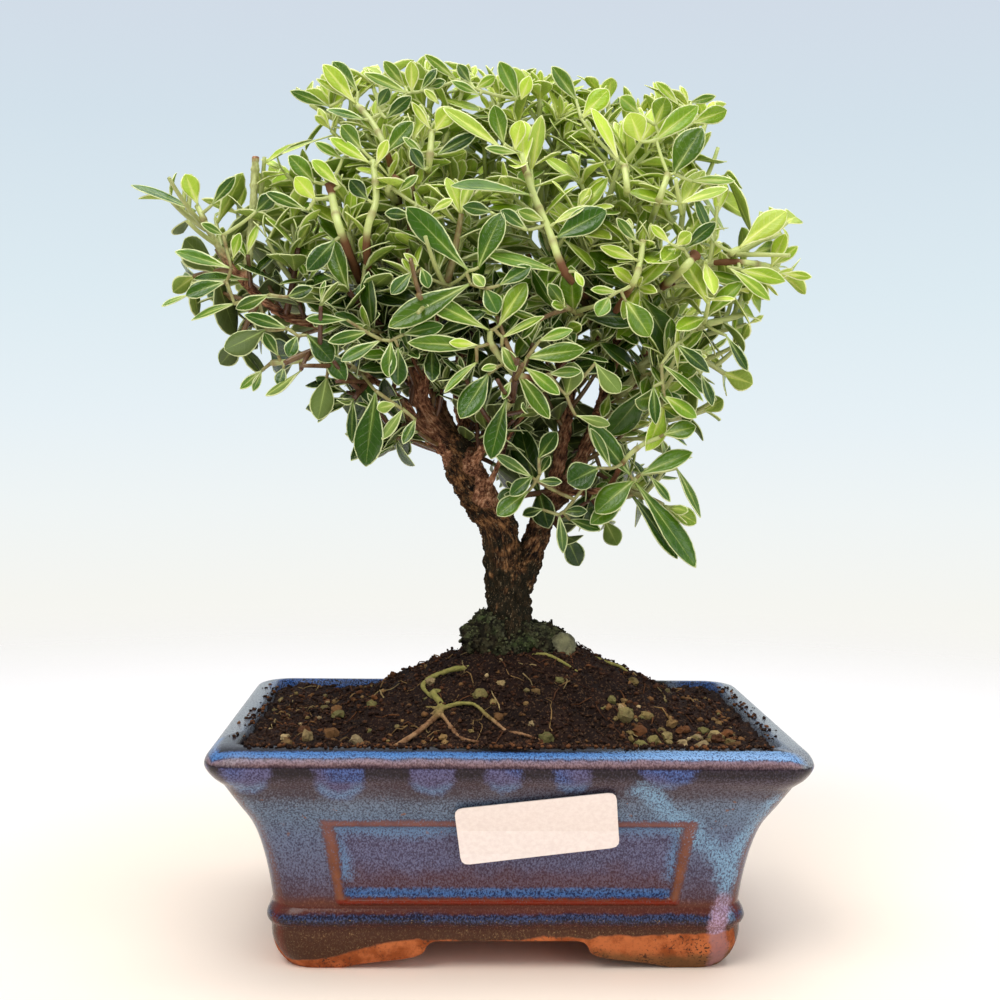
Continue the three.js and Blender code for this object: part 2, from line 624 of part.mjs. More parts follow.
const bonsai = new THREE.Group();
bonsai.add(meshOf('pot', potBody, finishes.glaze));
bonsai.add(meshOf('blank_label', makeLabel(), finishes.paper));
bonsai.add(meshOf('drain_screen_left', screens[0], finishes.plastic));
bonsai.add(meshOf('drain_screen_right', screens[1], finishes.plastic));
bonsai.add(meshOf('soil', soil, finishes.soil));
bonsai.add(meshOf('mossy_clod', clod, finishes.moss));
bonsai.add(meshOf('tree_wood', wood, finishes.bark));
makeShoots(wood, clearWood, [potBody, soil, clod]).forEach((solid, shoot) => {
  const [, , tip] = shoots[shoot];
  const finish = tip[2] > youngFrom ? finishes.youngLeaf : finishes.oldLeaf;
  bonsai.add(meshOf(`leafy_shoot_${String(shoot + 1).padStart(2, '0')}`, solid, finish));
});

const middle = new THREE.Box3().setFromObject(bonsai, true).getCenter(new THREE.Vector3());
bonsai.position.set(-middle.x, -middle.y, 0);

export default bonsai;
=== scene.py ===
# Serissa bonsai in a blue glazed pot. Pieces are modelled in millimetres round the middle of the pot,
# and set down in the frame in metres as the last step.
import math
import random

import bmesh
import bpy
from mathutils import Matrix, Vector, noise
from mathutils.kdtree import KDTree


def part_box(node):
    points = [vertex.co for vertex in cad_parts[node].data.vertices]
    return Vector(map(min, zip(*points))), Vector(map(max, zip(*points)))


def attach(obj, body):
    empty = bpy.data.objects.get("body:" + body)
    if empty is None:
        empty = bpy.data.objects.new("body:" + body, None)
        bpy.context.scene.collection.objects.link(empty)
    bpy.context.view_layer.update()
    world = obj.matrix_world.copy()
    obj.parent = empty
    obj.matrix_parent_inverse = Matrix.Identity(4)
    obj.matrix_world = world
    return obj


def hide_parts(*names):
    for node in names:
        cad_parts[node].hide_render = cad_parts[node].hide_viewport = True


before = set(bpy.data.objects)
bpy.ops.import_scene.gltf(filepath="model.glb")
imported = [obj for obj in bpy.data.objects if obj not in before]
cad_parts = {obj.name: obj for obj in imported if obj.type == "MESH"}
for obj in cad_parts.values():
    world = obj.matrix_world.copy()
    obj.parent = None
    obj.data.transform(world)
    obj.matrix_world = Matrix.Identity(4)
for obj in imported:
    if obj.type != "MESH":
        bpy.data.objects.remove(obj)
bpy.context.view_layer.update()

mm = 0.001
up = Vector((0, 0, 1))
potLow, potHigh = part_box("pot")
potMiddle = Vector(((potLow.x + potHigh.x) / 2, (potLow.y + potHigh.y) / 2, 0))
scene = bpy.context.scene


def mix(low, high, share):
    return low + (high - low) * share


def smoothStep(low, high, value):
    share = min(1, max(0, (value - low) / (high - low)))
    return share * share * (3 - 2 * share)


def setDown(point):
    return Vector(point) * mm + potMiddle


# A number from 0 to 1 that depends only on the three whole numbers given.
def chance(group, item, draw):
    seed = (group + 1) * 374761393 + (item + 1) * 668265263 + (draw + 1) * 974634777
    seed &= 0xFFFFFFFF
    seed = (seed ^ (seed >> 13)) * 1274126177 & 0xFFFFFFFF
    return (seed ^ (seed >> 16)) / 4294967296


def addObject(name, data):
    made = bpy.data.objects.new(name, data)
    scene.collection.objects.link(made)
    return made


def meshOf(name, bm):
    mesh = bpy.data.meshes.new(name)
    bm.to_mesh(mesh)
    bm.free()
    return mesh


def discard(worker):
    mesh = worker.data
    bpy.data.objects.remove(worker)
    bpy.data.meshes.remove(mesh)


# Adds one bmesh to another, with all its layers.
def joinInto(whole, part):
    mesh = meshOf("part", part)
    whole.from_mesh(mesh)
    bpy.data.meshes.remove(mesh)


def finderOf(points):
    finder = KDTree(len(points))
    for number, point in enumerate(points):
        finder.insert(point, number)
    finder.balance()
    return finder


def floatLayers(bm, names):
    return {name: bm.verts.layers.float.new(name) for name in names}


# Turns a bmesh in millimetres into a finished object that rides on the frame.
def finishPiece(name, bm, material, nodes=(), smooth=True):
    bmesh.ops.transform(bm, matrix=Matrix.Translation(potMiddle) @ Matrix.Scale(mm, 4), verts=bm.verts)
    mesh = meshOf(name, bm)
    mesh.materials.append(material)
    if smooth:
        mesh.shade_smooth()
    piece = addObject(name, mesh)
    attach(piece, "root")
    if nodes:
        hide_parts(*nodes)


# A bmesh with the given modifiers worked in.
def withModifiers(bm, *modifiers):
    worker = addObject("work", meshOf("work", bm))
    for kind, settings in modifiers:
        modifier = worker.modifiers.new(kind.lower(), kind)
        for key, value in settings.items():
            setattr(modifier, key, value)
    bpy.context.view_layer.update()
    shaped = worker.evaluated_get(bpy.context.evaluated_depsgraph_get())
    result = bmesh.new()
    result.from_mesh(shaped.data)
    discard(worker)
    return result


# Extrudes a ring of edges, and hands back its new vertices and the edges between them.
def growRing(bm, edges):
    grown = bmesh.ops.extrude_edge_only(bm, edges=edges)["geom"]
    ring = {part for part in grown if isinstance(part, bmesh.types.BMVert)}
    return ring, [part for part in grown if isinstance(part, bmesh.types.BMEdge) and set(part.verts) <= ring]


# Rings of vertices, one above the other, with a face at both ends. place(side, row) says where each goes.
def loftRings(bm, sides, rows, place):
    side = bm.verts.layers.int.get("side") or bm.verts.layers.int.new("side")
    ring = bmesh.ops.create_circle(bm, segments=sides, radius=1)["verts"]
    for number, vert in enumerate(ring):
        vert[side] = number
        vert.co = place(number, 0)
    edges = list(dict.fromkeys(edge for vert in ring for edge in vert.link_edges))
    bmesh.ops.contextual_create(bm, geom=edges)
    for row in range(1, rows):
        ring, edges = growRing(bm, edges)
        for vert in ring:
            vert.co = place(vert[side], row)
    bmesh.ops.contextual_create(bm, geom=edges)


# Which way a line of points runs at one of them.
def wayAt(points, number):
    return (points[min(number + 1, len(points) - 1)] - points[max(number - 1, 0)]).normalized()


# A round tube along points, its radius given point by point.
def roundTube(bm, points, radii, sides):
    points = [Vector(point) for point in points]
    frames = []
    aside = None
    for number in range(len(points)):
        way = wayAt(points, number)
        if aside is None:
            aside = way.orthogonal().normalized()
        aside = (aside - way * aside.dot(way)).normalized()
        frames.append((aside, way.cross(aside)))

    def place(side, row):
        angle = 2 * math.pi * side / sides
        first, second = frames[row]
        return points[row] + (first * math.cos(angle) + second * math.sin(angle)) * radii[row]

    loftRings(bm, sides, len(points), place)


def paint(red, green, blue):
    linear = [((part / 255 + 0.055) / 1.055) ** 2.4 for part in (red, green, blue)]
    return (*linear, 1)


def grey(value):
    return value, value, value, 1


def isSocket(value):
    return isinstance(value, bpy.types.NodeSocket)


# A new shader node. It goes into the tree of the sockets that feed it, unless a tree is given.
def addNode(kind, inputs=None, tree=None, **settings):
    inputs = inputs or {}
    tree = tree or next(value.id_data for value in inputs.values() if isSocket(value))
    made = tree.nodes.new("ShaderNode" + kind)
    for key, value in settings.items():
        setattr(made, key, value)
    for key, value in inputs.items():
        feed(made.inputs[key], value)
    return made


def feed(socket, value):
    if isSocket(value):
        socket.id_data.links.new(value, socket)
    else:
        socket.default_value = value


def calc(operation, first, second=0.0, clamp=False):
    return addNode("Math", {0: first, 1: second}, operation=operation, use_clamp=clamp).outputs[0]


def times(value, *others):
    for other in others:
        value = calc("MULTIPLY", value, other)
    return value


def plus(first, second):
    return calc("ADD", first, second)


def minus(first, second):
    return calc("SUBTRACT", first, second)


# A value that wanders: each grain comes with how far it moves the value.
def stirred(value, *grains):
    for grain, far in grains:
        value = plus(value, times(grain, far))
    return value


def blend(share, first, second):
    return addNode("Mix", {0: share, 6: first, 7: second}, data_type="RGBA").outputs[2]


# Lays coats over a colour, each with its mask, its strength and its red, green and blue.
def coated(colour, *coats):
    for mask, strength, shade in coats:
        colour = blend(times(mask, strength), colour, paint(*shade))
    return colour


def band(value, low, high, start=0.0, end=1.0):
    inputs = {"Value": value, "From Min": low, "From Max": high, "To Min": start, "To Max": end}
    return addNode("MapRange", inputs, interpolation_type="SMOOTHSTEP").outputs[0]


def grainOf(place, scale, detail=2.0, roughness=0.5):
    inputs = {"Vector": place, "Scale": scale, "Detail": detail, "Roughness": roughness}
    return addNode("TexNoise", inputs).outputs["Fac"]


# The same grain, from about -0.5 to 0.5.
def wanderOf(place, scale, detail):
    return minus(grainOf(place, scale, detail), 0.5)


def partsOf(vector):
    return addNode("SeparateXYZ", {0: vector}).outputs


def trait(material, name):
    return addNode("Attribute", tree=material.node_tree, attribute_name=name).outputs["Fac"]


def ramp(value, stops):
    made = addNode("ValToRGB", {0: value})
    elements = made.color_ramp.elements
    elements.remove(elements[1])
    for number, (place, colour) in enumerate(stops):
        element = elements.new(place) if number else elements[0]
        element.position = place
        element.color = colour
    return made.outputs[0]


# A ramp through stops of a place and its red, green and blue.
def shades(value, stops):
    return ramp(value, [(place, paint(*colour)) for place, *colour in stops])


def makeGroup(name, inputs, outputs):
    group = bpy.data.node_groups.new(name, "ShaderNodeTree")
    for label, kind, value in inputs:
        socket = group.interface.new_socket(label, in_out="INPUT", socket_type="NodeSocket" + kind)
        socket.default_value = value
    for label, kind in outputs:
        group.interface.new_socket(label, in_out="OUTPUT", socket_type="NodeSocket" + kind)
    given = group.nodes.new("NodeGroupInput").outputs
    result = group.nodes.new("NodeGroupOutput").inputs
    return group, given, result


# Small spots: 1 where the grain is above the level.
def makeSpots():
    inputs = (("Vector", "Vector", (0, 0, 0)), ("Scale", "Float", 500.0), ("Level", "Float", 0.6),
              ("Softness", "Float", 0.04))
    group, given, result = makeGroup("spots", inputs, (("Mask", "Float"),))
    grain = grainOf(given["Vector"], given["Scale"], 3.0, 0.6)
    low, high = (change(given["Level"], given["Softness"]) for change in (minus, plus))
    feed(result["Mask"], band(grain, low, high))
    return group


# Two colours that drift into each other.
def makeMottle():
    inputs = (("Vector", "Vector", (0, 0, 0)), ("Scale", "Float", 200.0), ("First", "Color", (0, 0, 0, 1)),
              ("Second", "Color", (1, 1, 1, 1)), ("Contrast", "Float", 0.12))
    group, given, result = makeGroup("mottle", inputs, (("Color", "Color"), ("Grain", "Float")))
    grain = grainOf(given["Vector"], given["Scale"], 5.0, 0.62)
    low, high = (change(0.5, given["Contrast"]) for change in (minus, plus))
    feed(result["Color"], blend(band(grain, low, high), given["First"], given["Second"]))
    feed(result["Grain"], grain)
    return group


# Coarse lumps and fine grit, as a height.
def makeGrit():
    inputs = (("Vector", "Vector", (0, 0, 0)), ("Coarse", "Float", 300.0), ("Fine", "Float", 1600.0),
              ("Fineness", "Float", 0.35))
    group, given, result = makeGroup("grit", inputs, (("Height", "Float"),))
    coarse = grainOf(given["Vector"], given["Coarse"], 4.0, 0.6)
    fine = grainOf(given["Vector"], given["Fine"], 3.0, 0.6)
    feed(result["Height"], stirred(coarse, (fine, given["Fineness"])))
    return group


spots = makeSpots()
mottle = makeMottle()
grit = makeGrit()


def spotted(place, scale, level, softness):
    inputs = {"Vector": place, "Scale": scale, "Level": level, "Softness": softness}
    return addNode("Group", inputs, node_tree=spots).outputs["Mask"]


def mottled(place, scale, first, second, contrast):
    inputs = {"Vector": place, "Scale": scale, "First": first, "Second": second, "Contrast": contrast}
    return addNode("Group", inputs, node_tree=mottle).outputs


def gritty(place, coarse, fine, fineness):
    inputs = {"Vector": place, "Coarse": coarse, "Fine": fine, "Fineness": fineness}
    return addNode("Group", inputs, node_tree=grit).outputs["Height"]


def startMaterial(name):
    material = bpy.data.materials.new(name)
    material.use_nodes = True
    tree = material.node_tree
    return material, tree.nodes["Principled BSDF"], addNode("TexCoord", tree=tree).outputs["Object"]


shaderLabels = {
    "colour": "Base Color", "roughness": "Roughness", "normal": "Normal", "alpha": "Alpha",
    "specular": "Specular IOR Level",
}


def wire(shader, **sockets):
    for name, value in sockets.items():
        feed(shader.inputs[shaderLabels[name]], value)


def bump(height, strength, distance):
    return addNode("Bump", {"Height": height, "Strength": strength, "Distance": distance}).outputs["Normal"]


stage = {
    "floorSize": 6, "fadeFrom": 0.26, "fadeTo": 0.78, "skyPower": 0.7, "mirrored": 0.3,
    "camera": (-16.9, -425, 140.5), "turn": 2.03, "down": 2.58, "roll": 0.7,
    "focal": 1490, "picture": 1000, "sensor": 36,
}


def areaLight(name, place, target, size, power, colour):
    light = bpy.data.lights.new(name, "AREA")
    light.shape = "DISK"
    light.size = size
    light.energy = power
    light.color = colour
    lamp = addObject(name, light)
    lamp.location = place
    lamp.rotation_euler = (Vector(target) - Vector(place)).to_track_quat("-Z", "Y").to_euler()


# The camera's own directions: ahead, to the right and up.
def cameraWays():
    turn, down, roll = (math.radians(stage[key]) for key in ("turn", "down", "roll"))
    ahead = Vector((math.sin(turn) * math.cos(down), math.cos(turn) * math.cos(down), -math.sin(down)))
    right = Vector((math.cos(turn), -math.sin(turn), 0))
    above = right.cross(ahead)
    rolledRight = right * math.cos(roll) + above * math.sin(roll)
    return ahead, rolledRight, above * math.cos(roll) - right * math.sin(roll)


eye = Vector(stage["camera"])
ahead, rightward, upward = cameraWays()


# Where a point shows in the frame, in pixels across and down.
def toFrame(point):
    way = point - eye
    far = way.dot(ahead) / stage["focal"]
    return stage["picture"] / 2 + way.dot(rightward) / far, stage["picture"] / 2 - way.dot(upward) / far


# The point that shows at a pixel of the frame, at a depth y.
def fromFrame(across, down, y):
    half = stage["picture"] / 2
    way = ahead * stage["focal"] + rightward * (across - half) - upward * (down - half)
    return eye + way * ((y - eye.y) / way.y)


def makeCamera():
    lens = bpy.data.cameras.new("camera")
    lens.sensor_width = stage["sensor"]
    lens.lens = stage["sensor"] * stage["focal"] / stage["picture"]
    lens.clip_start = 0.01
    camera = addObject("camera", lens)
    camera.matrix_world = Matrix((
        (rightward.x, upward.x, -ahead.x, 0),
        (rightward.y, upward.y, -ahead.y, 0),
        (rightward.z, upward.z, -ahead.z, 0),
        (0, 0, 0, 1),
    ))
    camera.location = setDown(stage["camera"])
    scene.camera = camera


# A pale floor that fades out into the backdrop, so that no edge shows between them.
def makeFloor():
    bm = bmesh.new()
    bmesh.ops.create_grid(bm, x_segments=1, y_segments=1, size=stage["floorSize"] / 2)
    floor = addObject("floor", meshOf("floor", bm))
    material, shader, place = startMaterial("paleFloor")
    far = addNode("VectorMath", {0: place}, operation="LENGTH").outputs["Value"]
    tone = blend(band(far, 0.1, 0.36), paint(255, 237, 218), paint(250, 245, 241))
    wire(shader, colour=tone, roughness=0.75, alpha=band(far, stage["fadeFrom"], stage["fadeTo"], 1, 0))
    floor.data.materials.append(material)


# The backdrop that the camera sees is brighter than the sky that lights the tree, and what the tree mirrors
# is dim towards the front, as a room is.
def makeSky():
    world = bpy.data.worlds.new("softSky")
    scene.world = world
    world.use_nodes = True
    tree = world.node_tree
    parts = partsOf(addNode("TexCoord", tree=tree).outputs["Generated"])
    sky = shades(plus(times(parts["Z"], 0.5), 0.5), (
        (0.0, 250, 246, 240), (0.40, 253, 249, 245), (0.445, 246, 246, 241), (0.475, 240, 245, 245),
        (0.505, 231, 241, 246), (0.545, 221, 235, 242), (0.60, 211, 225, 235), (0.66, 208, 216, 229),
        (0.85, 200, 208, 222),
    ))
    rays = addNode("LightPath", tree=tree).outputs
    power = band(rays["Is Camera Ray"], 0, 1, stage["skyPower"], 1.0)
    front = band(plus(parts["Z"], parts["Y"]), -0.2, 0.8, stage["mirrored"], 1.3)
    background = tree.nodes["Background"].inputs
    feed(background["Strength"], blend(rays["Is Glossy Ray"], power, times(power, front)))
    feed(background["Color"], sky)


def makeStage():
    makeCamera()
    makeFloor()
    makeSky()
    areaLight("key", (-0.42, -0.62, 0.95), (0, 0, 0.12), 0.7, 7.3, (1, 0.985, 0.96))
    areaLight("fill", (0.75, -0.75, 0.45), (0, 0, 0.1), 0.8, 3.2, (0.96, 0.98, 1))
    areaLight("top", (0.1, 0.05, 1.1), (0, 0, 0.1), 1.1, 8.4, (1, 1, 1))
    scene.view_settings.view_transform = "Standard"


makeStage()
print("stage ready")


pot = {
    "sideCut": 19, "outerCorner": 8.5, "innerCorner": 5, "cornerSteps": 6, "rimTop": 61,
    "panelLow": 17.9, "panelHigh": 41.4, "panelLowHalf": 44.2, "panelHighHalf": 48.2,
    "ridgeAt": 0.85, "ridgeWidth": 0.8, "proud": 0.9, "sunk": 1.2,
    "foot": (
        (58.4, 0), (60.6, 3.4), (61.9, 8), (62.1, 11.4), (62.8, 12.4), (63.2, 14), (62.6, 15.8), (61.7, 17.2),
    ),
    "wall": ((61.7, 17.2), (62.7, 24.5), (64.4, 32.5), (66.6, 39), (70.2, 45.2), (73.3, 50.6)),
    "rim": (
        (73.3, 50.6), (76, 53.4), (77.5, 56.6), (76.4, 59.3), (74.2, 60.5), (71, 61), (69.6, 60.3),
        (67.4, 54),
    ),
    "lip": ((67.4, 54), (69.6, 60.3)), "lipTop": 71, "lipSlope": 0.17,
    "inside": ((60, 42), (57, 32), (54.6, 15)),
    "wallRows": (17.5, 17.9, 18.3, 18.7, 19.1, 19.6, 20.2, 21, 22.2, 24, 26.5, 29, 31.5, 34, 36.2, 37.8, 38.8,
                 39.5, 40.1, 40.5, 40.9, 41.4, 42, 42.8, 43.6, 44.6, 45.6, 46.8, 48, 49.3),
    "edgeColumns": (-1.2, -0.5, 0.1, 0.6, 1.1, 1.6, 2.1, 2.8, 3.8), "fieldColumns": 36, "outerColumns": 7,
    "underside": 8.3, "pocketHalf": 46, "pocketCorner": 6, "holeX": 30, "holeRadius": 6, "floorTop": 15,
    "archCurl": ((0.84, 1.6), (0.38, 2.9), (0.16, 3.9), (0.14, 5.6), (0.11, 8.3), (0, 8.3)),
    "frontArch": (43, 25), "endArch": (28, 17), "softEdge": 0.7,
    "frontTongues": (
        (-66, 6.5, 49.5), (-43, 6.2, 47.4), (-20, 5.9, 49), (-2, 4.8, 50), (15, 4.8, 50), (39, 8, 51.5),
    ),
    "rimHalf": 77.5, "widestAt": 56.6,
    "streaks": (
        ((33, 51), (44, 42), (51, 35), (57.5, 28.5)), ((69, 47), (63, 38), (57.5, 28.5)),
        ((57.5, 28.5), (56, 16)),
    ),
    "drip": ((56.5, 19), (54.4, 12), (56, 6), (55.2, 0)),
    "otherTongues": (
        (-58, 6, 48.5), (-37, 6.6, 47.5), (-15, 5.5, 49.5), (5, 6.2, 48), (26, 5.2, 50), (50, 6.4, 48.6),
    ),
}


# A point on a smooth line through the given points, as far along as the share says.
def splineAt(points, share):
    place = share * (len(points) - 1)
    below = min(int(place), len(points) - 2)
    part = place - below
    first, second = Vector(points[below]), Vector(points[below + 1])
    before = Vector(points[below - 1]) if below else first * 2 - second
    after = Vector(points[below + 2]) if below + 2 < len(points) else second * 2 - first
    leave, arrive = (second - before) / 2, (after - first) / 2
    bend = (first - second) * 2 + leave + arrive
    lean = (second - first) * 3 - leave * 2 - arrive
    return first + leave * part + lean * part ** 2 + bend * part ** 3


def smoothProfile(points, steps):
    count = steps * (len(points) - 1)
    return [tuple(splineAt(points, number / count)) for number in range(count + 1)]


wallCurve = smoothProfile(pot["wall"], 12)
outerCurve = smoothProfile(pot["foot"], 6) + wallCurve + smoothProfile(pot["rim"][:3], 6)


def halfAt(curve, height):
    for (lowHalf, low), (highHalf, high) in zip(curve, curve[1:]):
        if height <= high and high > low:
            return mix(lowHalf, highHalf, max(0, (height - low) / (high - low)))
    return curve[-1][0]


def panelHalf(height, narrower):
    share = (height - pot["panelLow"]) / (pot["panelHigh"] - pot["panelLow"])
    return mix(pot["panelLowHalf"], pot["panelHighHalf"], share) - narrower


# How far inside the panel's outer edge a spot on the wall is.
def panelInset(along, height, narrower):
    return min(panelHalf(height, narrower) - abs(along), height - pot["panelLow"], pot["panelHigh"] - height)


def relief(inset):
    ridge = pot["proud"] * math.exp(-((inset - pot["ridgeAt"]) / pot["ridgeWidth"]) ** 2)
    return ridge - pot["sunk"] * smoothStep(1.3, 2.8, inset)


# The raised edge is twice as wide up the panel's sides as along its top and foot.
def panelDepth(along, height, narrower):
    beside = (panelHalf(height, narrower) - abs(along)) / mix(1.3, 1.9, smoothStep(20, 40, height))
    return min(beside, height - pot["panelLow"], pot["panelHigh"] - height)


# Every column of one side: how far along the side it stands at each height, or its angle in the corner.
def potColumns():
    columns = []
    outer, field = pot["outerColumns"], pot["fieldColumns"]
    for side in range(4):
        for number in range(outer):
            columns.append((side, "outer", -1, 1 - number / outer))
        for inset in pot["edgeColumns"]:
            columns.append((side, "edge", -1, inset))
        for number in range(1, field):
            columns.append((side, "field", 1, 2 * number / field - 1))
        for inset in reversed(pot["edgeColumns"]):
            columns.append((side, "edge", 1, inset))
        for number in range(outer):
            columns.append((side, "outer", 1, (number + 1) / outer))
        for number in range(1, pot["cornerSteps"]):
            columns.append((side, "corner", 1, number / pot["cornerSteps"]))
    return columns


def potRows():
    rows = smoothProfile(pot["foot"], 3)
    rows += [(halfAt(wallCurve, height), height) for height in pot["wallRows"]]
    rows += smoothProfile(pot["rim"], 5)
    return rows + list(pot["inside"])


def potPlace(column, half, height, outside):
    side, kind, sign, value = column
    narrower = pot["sideCut"] if side % 2 else 0
    corner = mix(pot["innerCorner"], pot["outerCorner"], outside)
    reach = half - (0 if side % 2 else pot["sideCut"])
    straight = half - narrower - corner
    panel = panelHalf(min(height, pot["rimTop"]), narrower)
    widest = pot["edgeColumns"][-1]
    along = {
        "outer": lambda: sign * mix(panel - pot["edgeColumns"][0], straight, value),
        "edge": lambda: sign * (panel - value),
        "field": lambda: value * (panel - widest),
        "corner": lambda: straight + corner * math.sin(value * math.pi / 2),
    }[kind]()
    depth = reach
    if kind == "corner":
        depth = reach - corner * (1 - math.cos(value * math.pi / 2))
    elif outside > 0.5:
        depth += relief(panelDepth(along, height, narrower))
    # side 0 faces the front, and the sides go round from there by way of the right end
    return Matrix.Rotation(side * math.pi / 2, 4, "Z") @ Vector((along, -depth, height))


def quadCurve(start, pull, end, steps=6):
    start, pull, end = Vector(start), Vector(pull), Vector(end)
    shares = [number / steps for number in range(1, steps + 1)]
    return [start * (1 - s) ** 2 + pull * 2 * s * (1 - s) + end * s ** 2 for s in shares]


# The opening between two feet, as a block that runs right through the pot.
def archCutter(halfSpan, curl, turned):
    crown = halfSpan - curl
    rising = [(halfSpan, 0)] + [(crown + share * curl, height) for share, height in pot["archCurl"]]
    outline = [Vector((halfSpan, -2)), Vector(rising[0])]
    for number in range(1, len(rising), 2):
        outline += quadCurve(outline[-1], rising[number], rising[number + 1])
    outline += [Vector((-point.x, point.y)) for point in reversed(outline)]
    bm = bmesh.new()
    verts = [bm.verts.new((point.x, -100, point.y)) for point in outline]
    face = bm.faces.new(verts)
    grown = bmesh.ops.extrude_face_region(bm, geom=[face])["geom"]
    ends = [part for part in grown if isinstance(part, bmesh.types.BMVert)]
    bmesh.ops.translate(bm, verts=ends, vec=(0, 200, 0))
    if turned:
        bmesh.ops.rotate(bm, verts=bm.verts, matrix=Matrix.Rotation(math.pi / 2, 3, "Z"))
    bmesh.ops.recalc_face_normals(bm, faces=bm.faces)
    return bm


def pocketCutter():
    bm = bmesh.new()
    halfX, halfY = pot["pocketHalf"], pot["pocketHalf"] - pot["sideCut"]
    bmesh.ops.create_cube(bm, size=2)
    bmesh.ops.scale(bm, verts=bm.verts, vec=(halfX, halfY, pot["underside"]))
    upright = [edge for edge in bm.edges if abs(edge.verts[0].co.z - edge.verts[1].co.z) > 1]
    bmesh.ops.bevel(bm, geom=upright, offset=pot["pocketCorner"], segments=4, profile=0.5, affect="EDGES",
                    material=-1)
    return bm


def holeCutter(x):
    bm = bmesh.new()
    radius = pot["holeRadius"]
    bmesh.ops.create_cone(bm, cap_ends=True, segments=32, radius1=radius, radius2=radius,
                          depth=2 * pot["floorTop"])
    bmesh.ops.translate(bm, verts=bm.verts, vec=(x, 0, pot["floorTop"]))
    return bm


def cutAway(bm, cutters):
    blocks = [addObject("cutter", meshOf("cutter", cutter)) for cutter in cutters]
    steps = [("BOOLEAN", {"operation": "DIFFERENCE", "solver": "EXACT", "object": block}) for block in blocks]
    result = withModifiers(bm, *steps)
    for block in blocks:
        discard(block)
    return result


# How high the glaze ends above the feet.
def glazeLine(along, side):
    if side == 0 and along > 22:
        return 9.4 + 1.2 * smoothStep(24, 60, along)
    outer = smoothStep(54, 22, abs(along))
    return mix(2.8, 8.6, outer) + 0.6 * math.sin(along / 7 + side)


def farFromLine(points, along, height):
    spot = Vector((along, height))
    nearest = 99.0
    for first, second in zip(points, points[1:]):
        start, line = Vector(first), Vector(second) - Vector(first)
        share = min(1, max(0, (spot - start).dot(line) / line.length_squared))
        nearest = min(nearest, (spot - start - line * share).length)
    return nearest


# What the glaze does at a spot: runs from the rim, panel edges, corners, and where it ends above the feet.
def potTraits(point):
    x, y, height = point
    half = halfAt(outerCurve, height)
    overX, overY = abs(x) - half, abs(y) - (half - pot["sideCut"])
    onEnd = overX > overY
    side = (1 if x > 0 else 3) if onEnd else (0 if y < 0 else 2)
    narrower = pot["sideCut"] if onEnd else 0
    along = {0: x, 1: y, 2: -x, 3: -y}[side]
    shell = max(overX, overY) > -3.2
    tongues = pot["frontTongues"] if side == 0 else pot["otherTongues"]
    tongue = 9.0
    for middle, width, low in tongues:
        below = max(0, low + width - height)
        tongue = min(tongue, math.hypot(along - middle, below) - width)
    shift = 0 if side == 0 else 8 * side
    streak = min(farFromLine(line, along + shift, height) for line in pot["streaks"])
    lipInward = max(0, pot["rimHalf"] - 1 - max(abs(x), abs(y) + pot["sideCut"]))
    traits = {
        "tongue": tongue,
        "inset": panelInset(along, height, narrower) if shell else -9.0,
        "ridgeInset": panelDepth(along, height, narrower) if shell else -9.0,
        "lowInset": height - pot["panelLow"],
        "corner": smoothStep(4.6, 0.8, half - narrower - abs(along)) if shell else 0.0,
        "glazed": height - glazeLine(along, side),
        "streak": streak if side < 2 else 40.0,
        "drip": farFromLine(pot["drip"], along, height) if side == 0 else 40.0,
        "rimWay": height - pot["widestAt"] + lipInward,
    }
    if not shell:
        traits["glazed"] = 9.0 if height > 50 else -9.0
    return traits


# Rows from low to high: millimetres, the dark glaze, the flecks that float in it, and how thick they lie in
# hundredths. The rim's rows run from its widest line up and inwards, over "rimWay" millimetres; its pinkish
# rows are a painted highlight.
glaze = {
    "wall": (
        (0, 66, 38, 22, 98, 70, 46, 24), (10.8, 66, 36, 22, 96, 66, 44, 24),
        (12.4, 58, 24, 18, 92, 52, 40, 24), (13.2, 40, 20, 22, 66, 56, 74, 34),
        (14.2, 28, 26, 38, 60, 72, 106, 42), (15.3, 34, 28, 42, 66, 78, 114, 42),
        (16, 80, 40, 34, 104, 64, 54, 26), (18, 86, 44, 32, 114, 68, 50, 20),
        (20.2, 66, 42, 50, 92, 78, 92, 40), (26, 60, 50, 68, 96, 98, 122, 46),
        (36, 58, 58, 80, 100, 112, 138, 50), (43, 60, 66, 84, 106, 126, 150, 54),
        (46.5, 60, 62, 76, 108, 122, 142, 54), (49, 60, 50, 58, 94, 94, 106, 44),
        (52.6, 58, 44, 50, 92, 84, 94, 42), (54.2, 42, 32, 38, 78, 70, 84, 36),
        (55.4, 24, 16, 22, 54, 50, 64, 32), (56.6, 28, 18, 24, 60, 50, 60, 32),
    ),
    "rim": (
        (0, 34, 22, 28, 66, 52, 60, 36), (0.8, 56, 40, 44, 90, 70, 76, 42),
        # painted highlight: the pinkish rows at 1.4 and 2.2, where the rounded edge catches the light
        (1.4, 92, 70, 72, 134, 108, 110, 50), (2.2, 92, 74, 82, 136, 116, 128, 50),
        (2.8, 34, 32, 52, 76, 88, 122, 48), (3.3, 28, 42, 78, 78, 120, 172, 60),
        (5.6, 28, 44, 82, 78, 124, 180, 62), (6.5, 16, 20, 38, 50, 74, 116, 42),
        (7.3, 9, 8, 10, 26, 26, 34, 20), (16, 9, 8, 9, 24, 22, 24, 18),
    ),
    "rimWay": 16, "gloss": 0.16, "clayRoughness": 0.85, "specular": 0.22,
}


# The dark glaze, the flecks and their thickness, read from rows.
def layered(value, whole, rows):
    share = calc("DIVIDE", value, whole)
    dark = shades(share, [(row[0] / whole, *row[1:4]) for row in rows])
    flecks = shades(share, [(row[0] / whole, *row[4:7]) for row in rows])
    return [dark, flecks, ramp(share, [(row[0] / whole, grey(row[7] / 100)) for row in rows])]


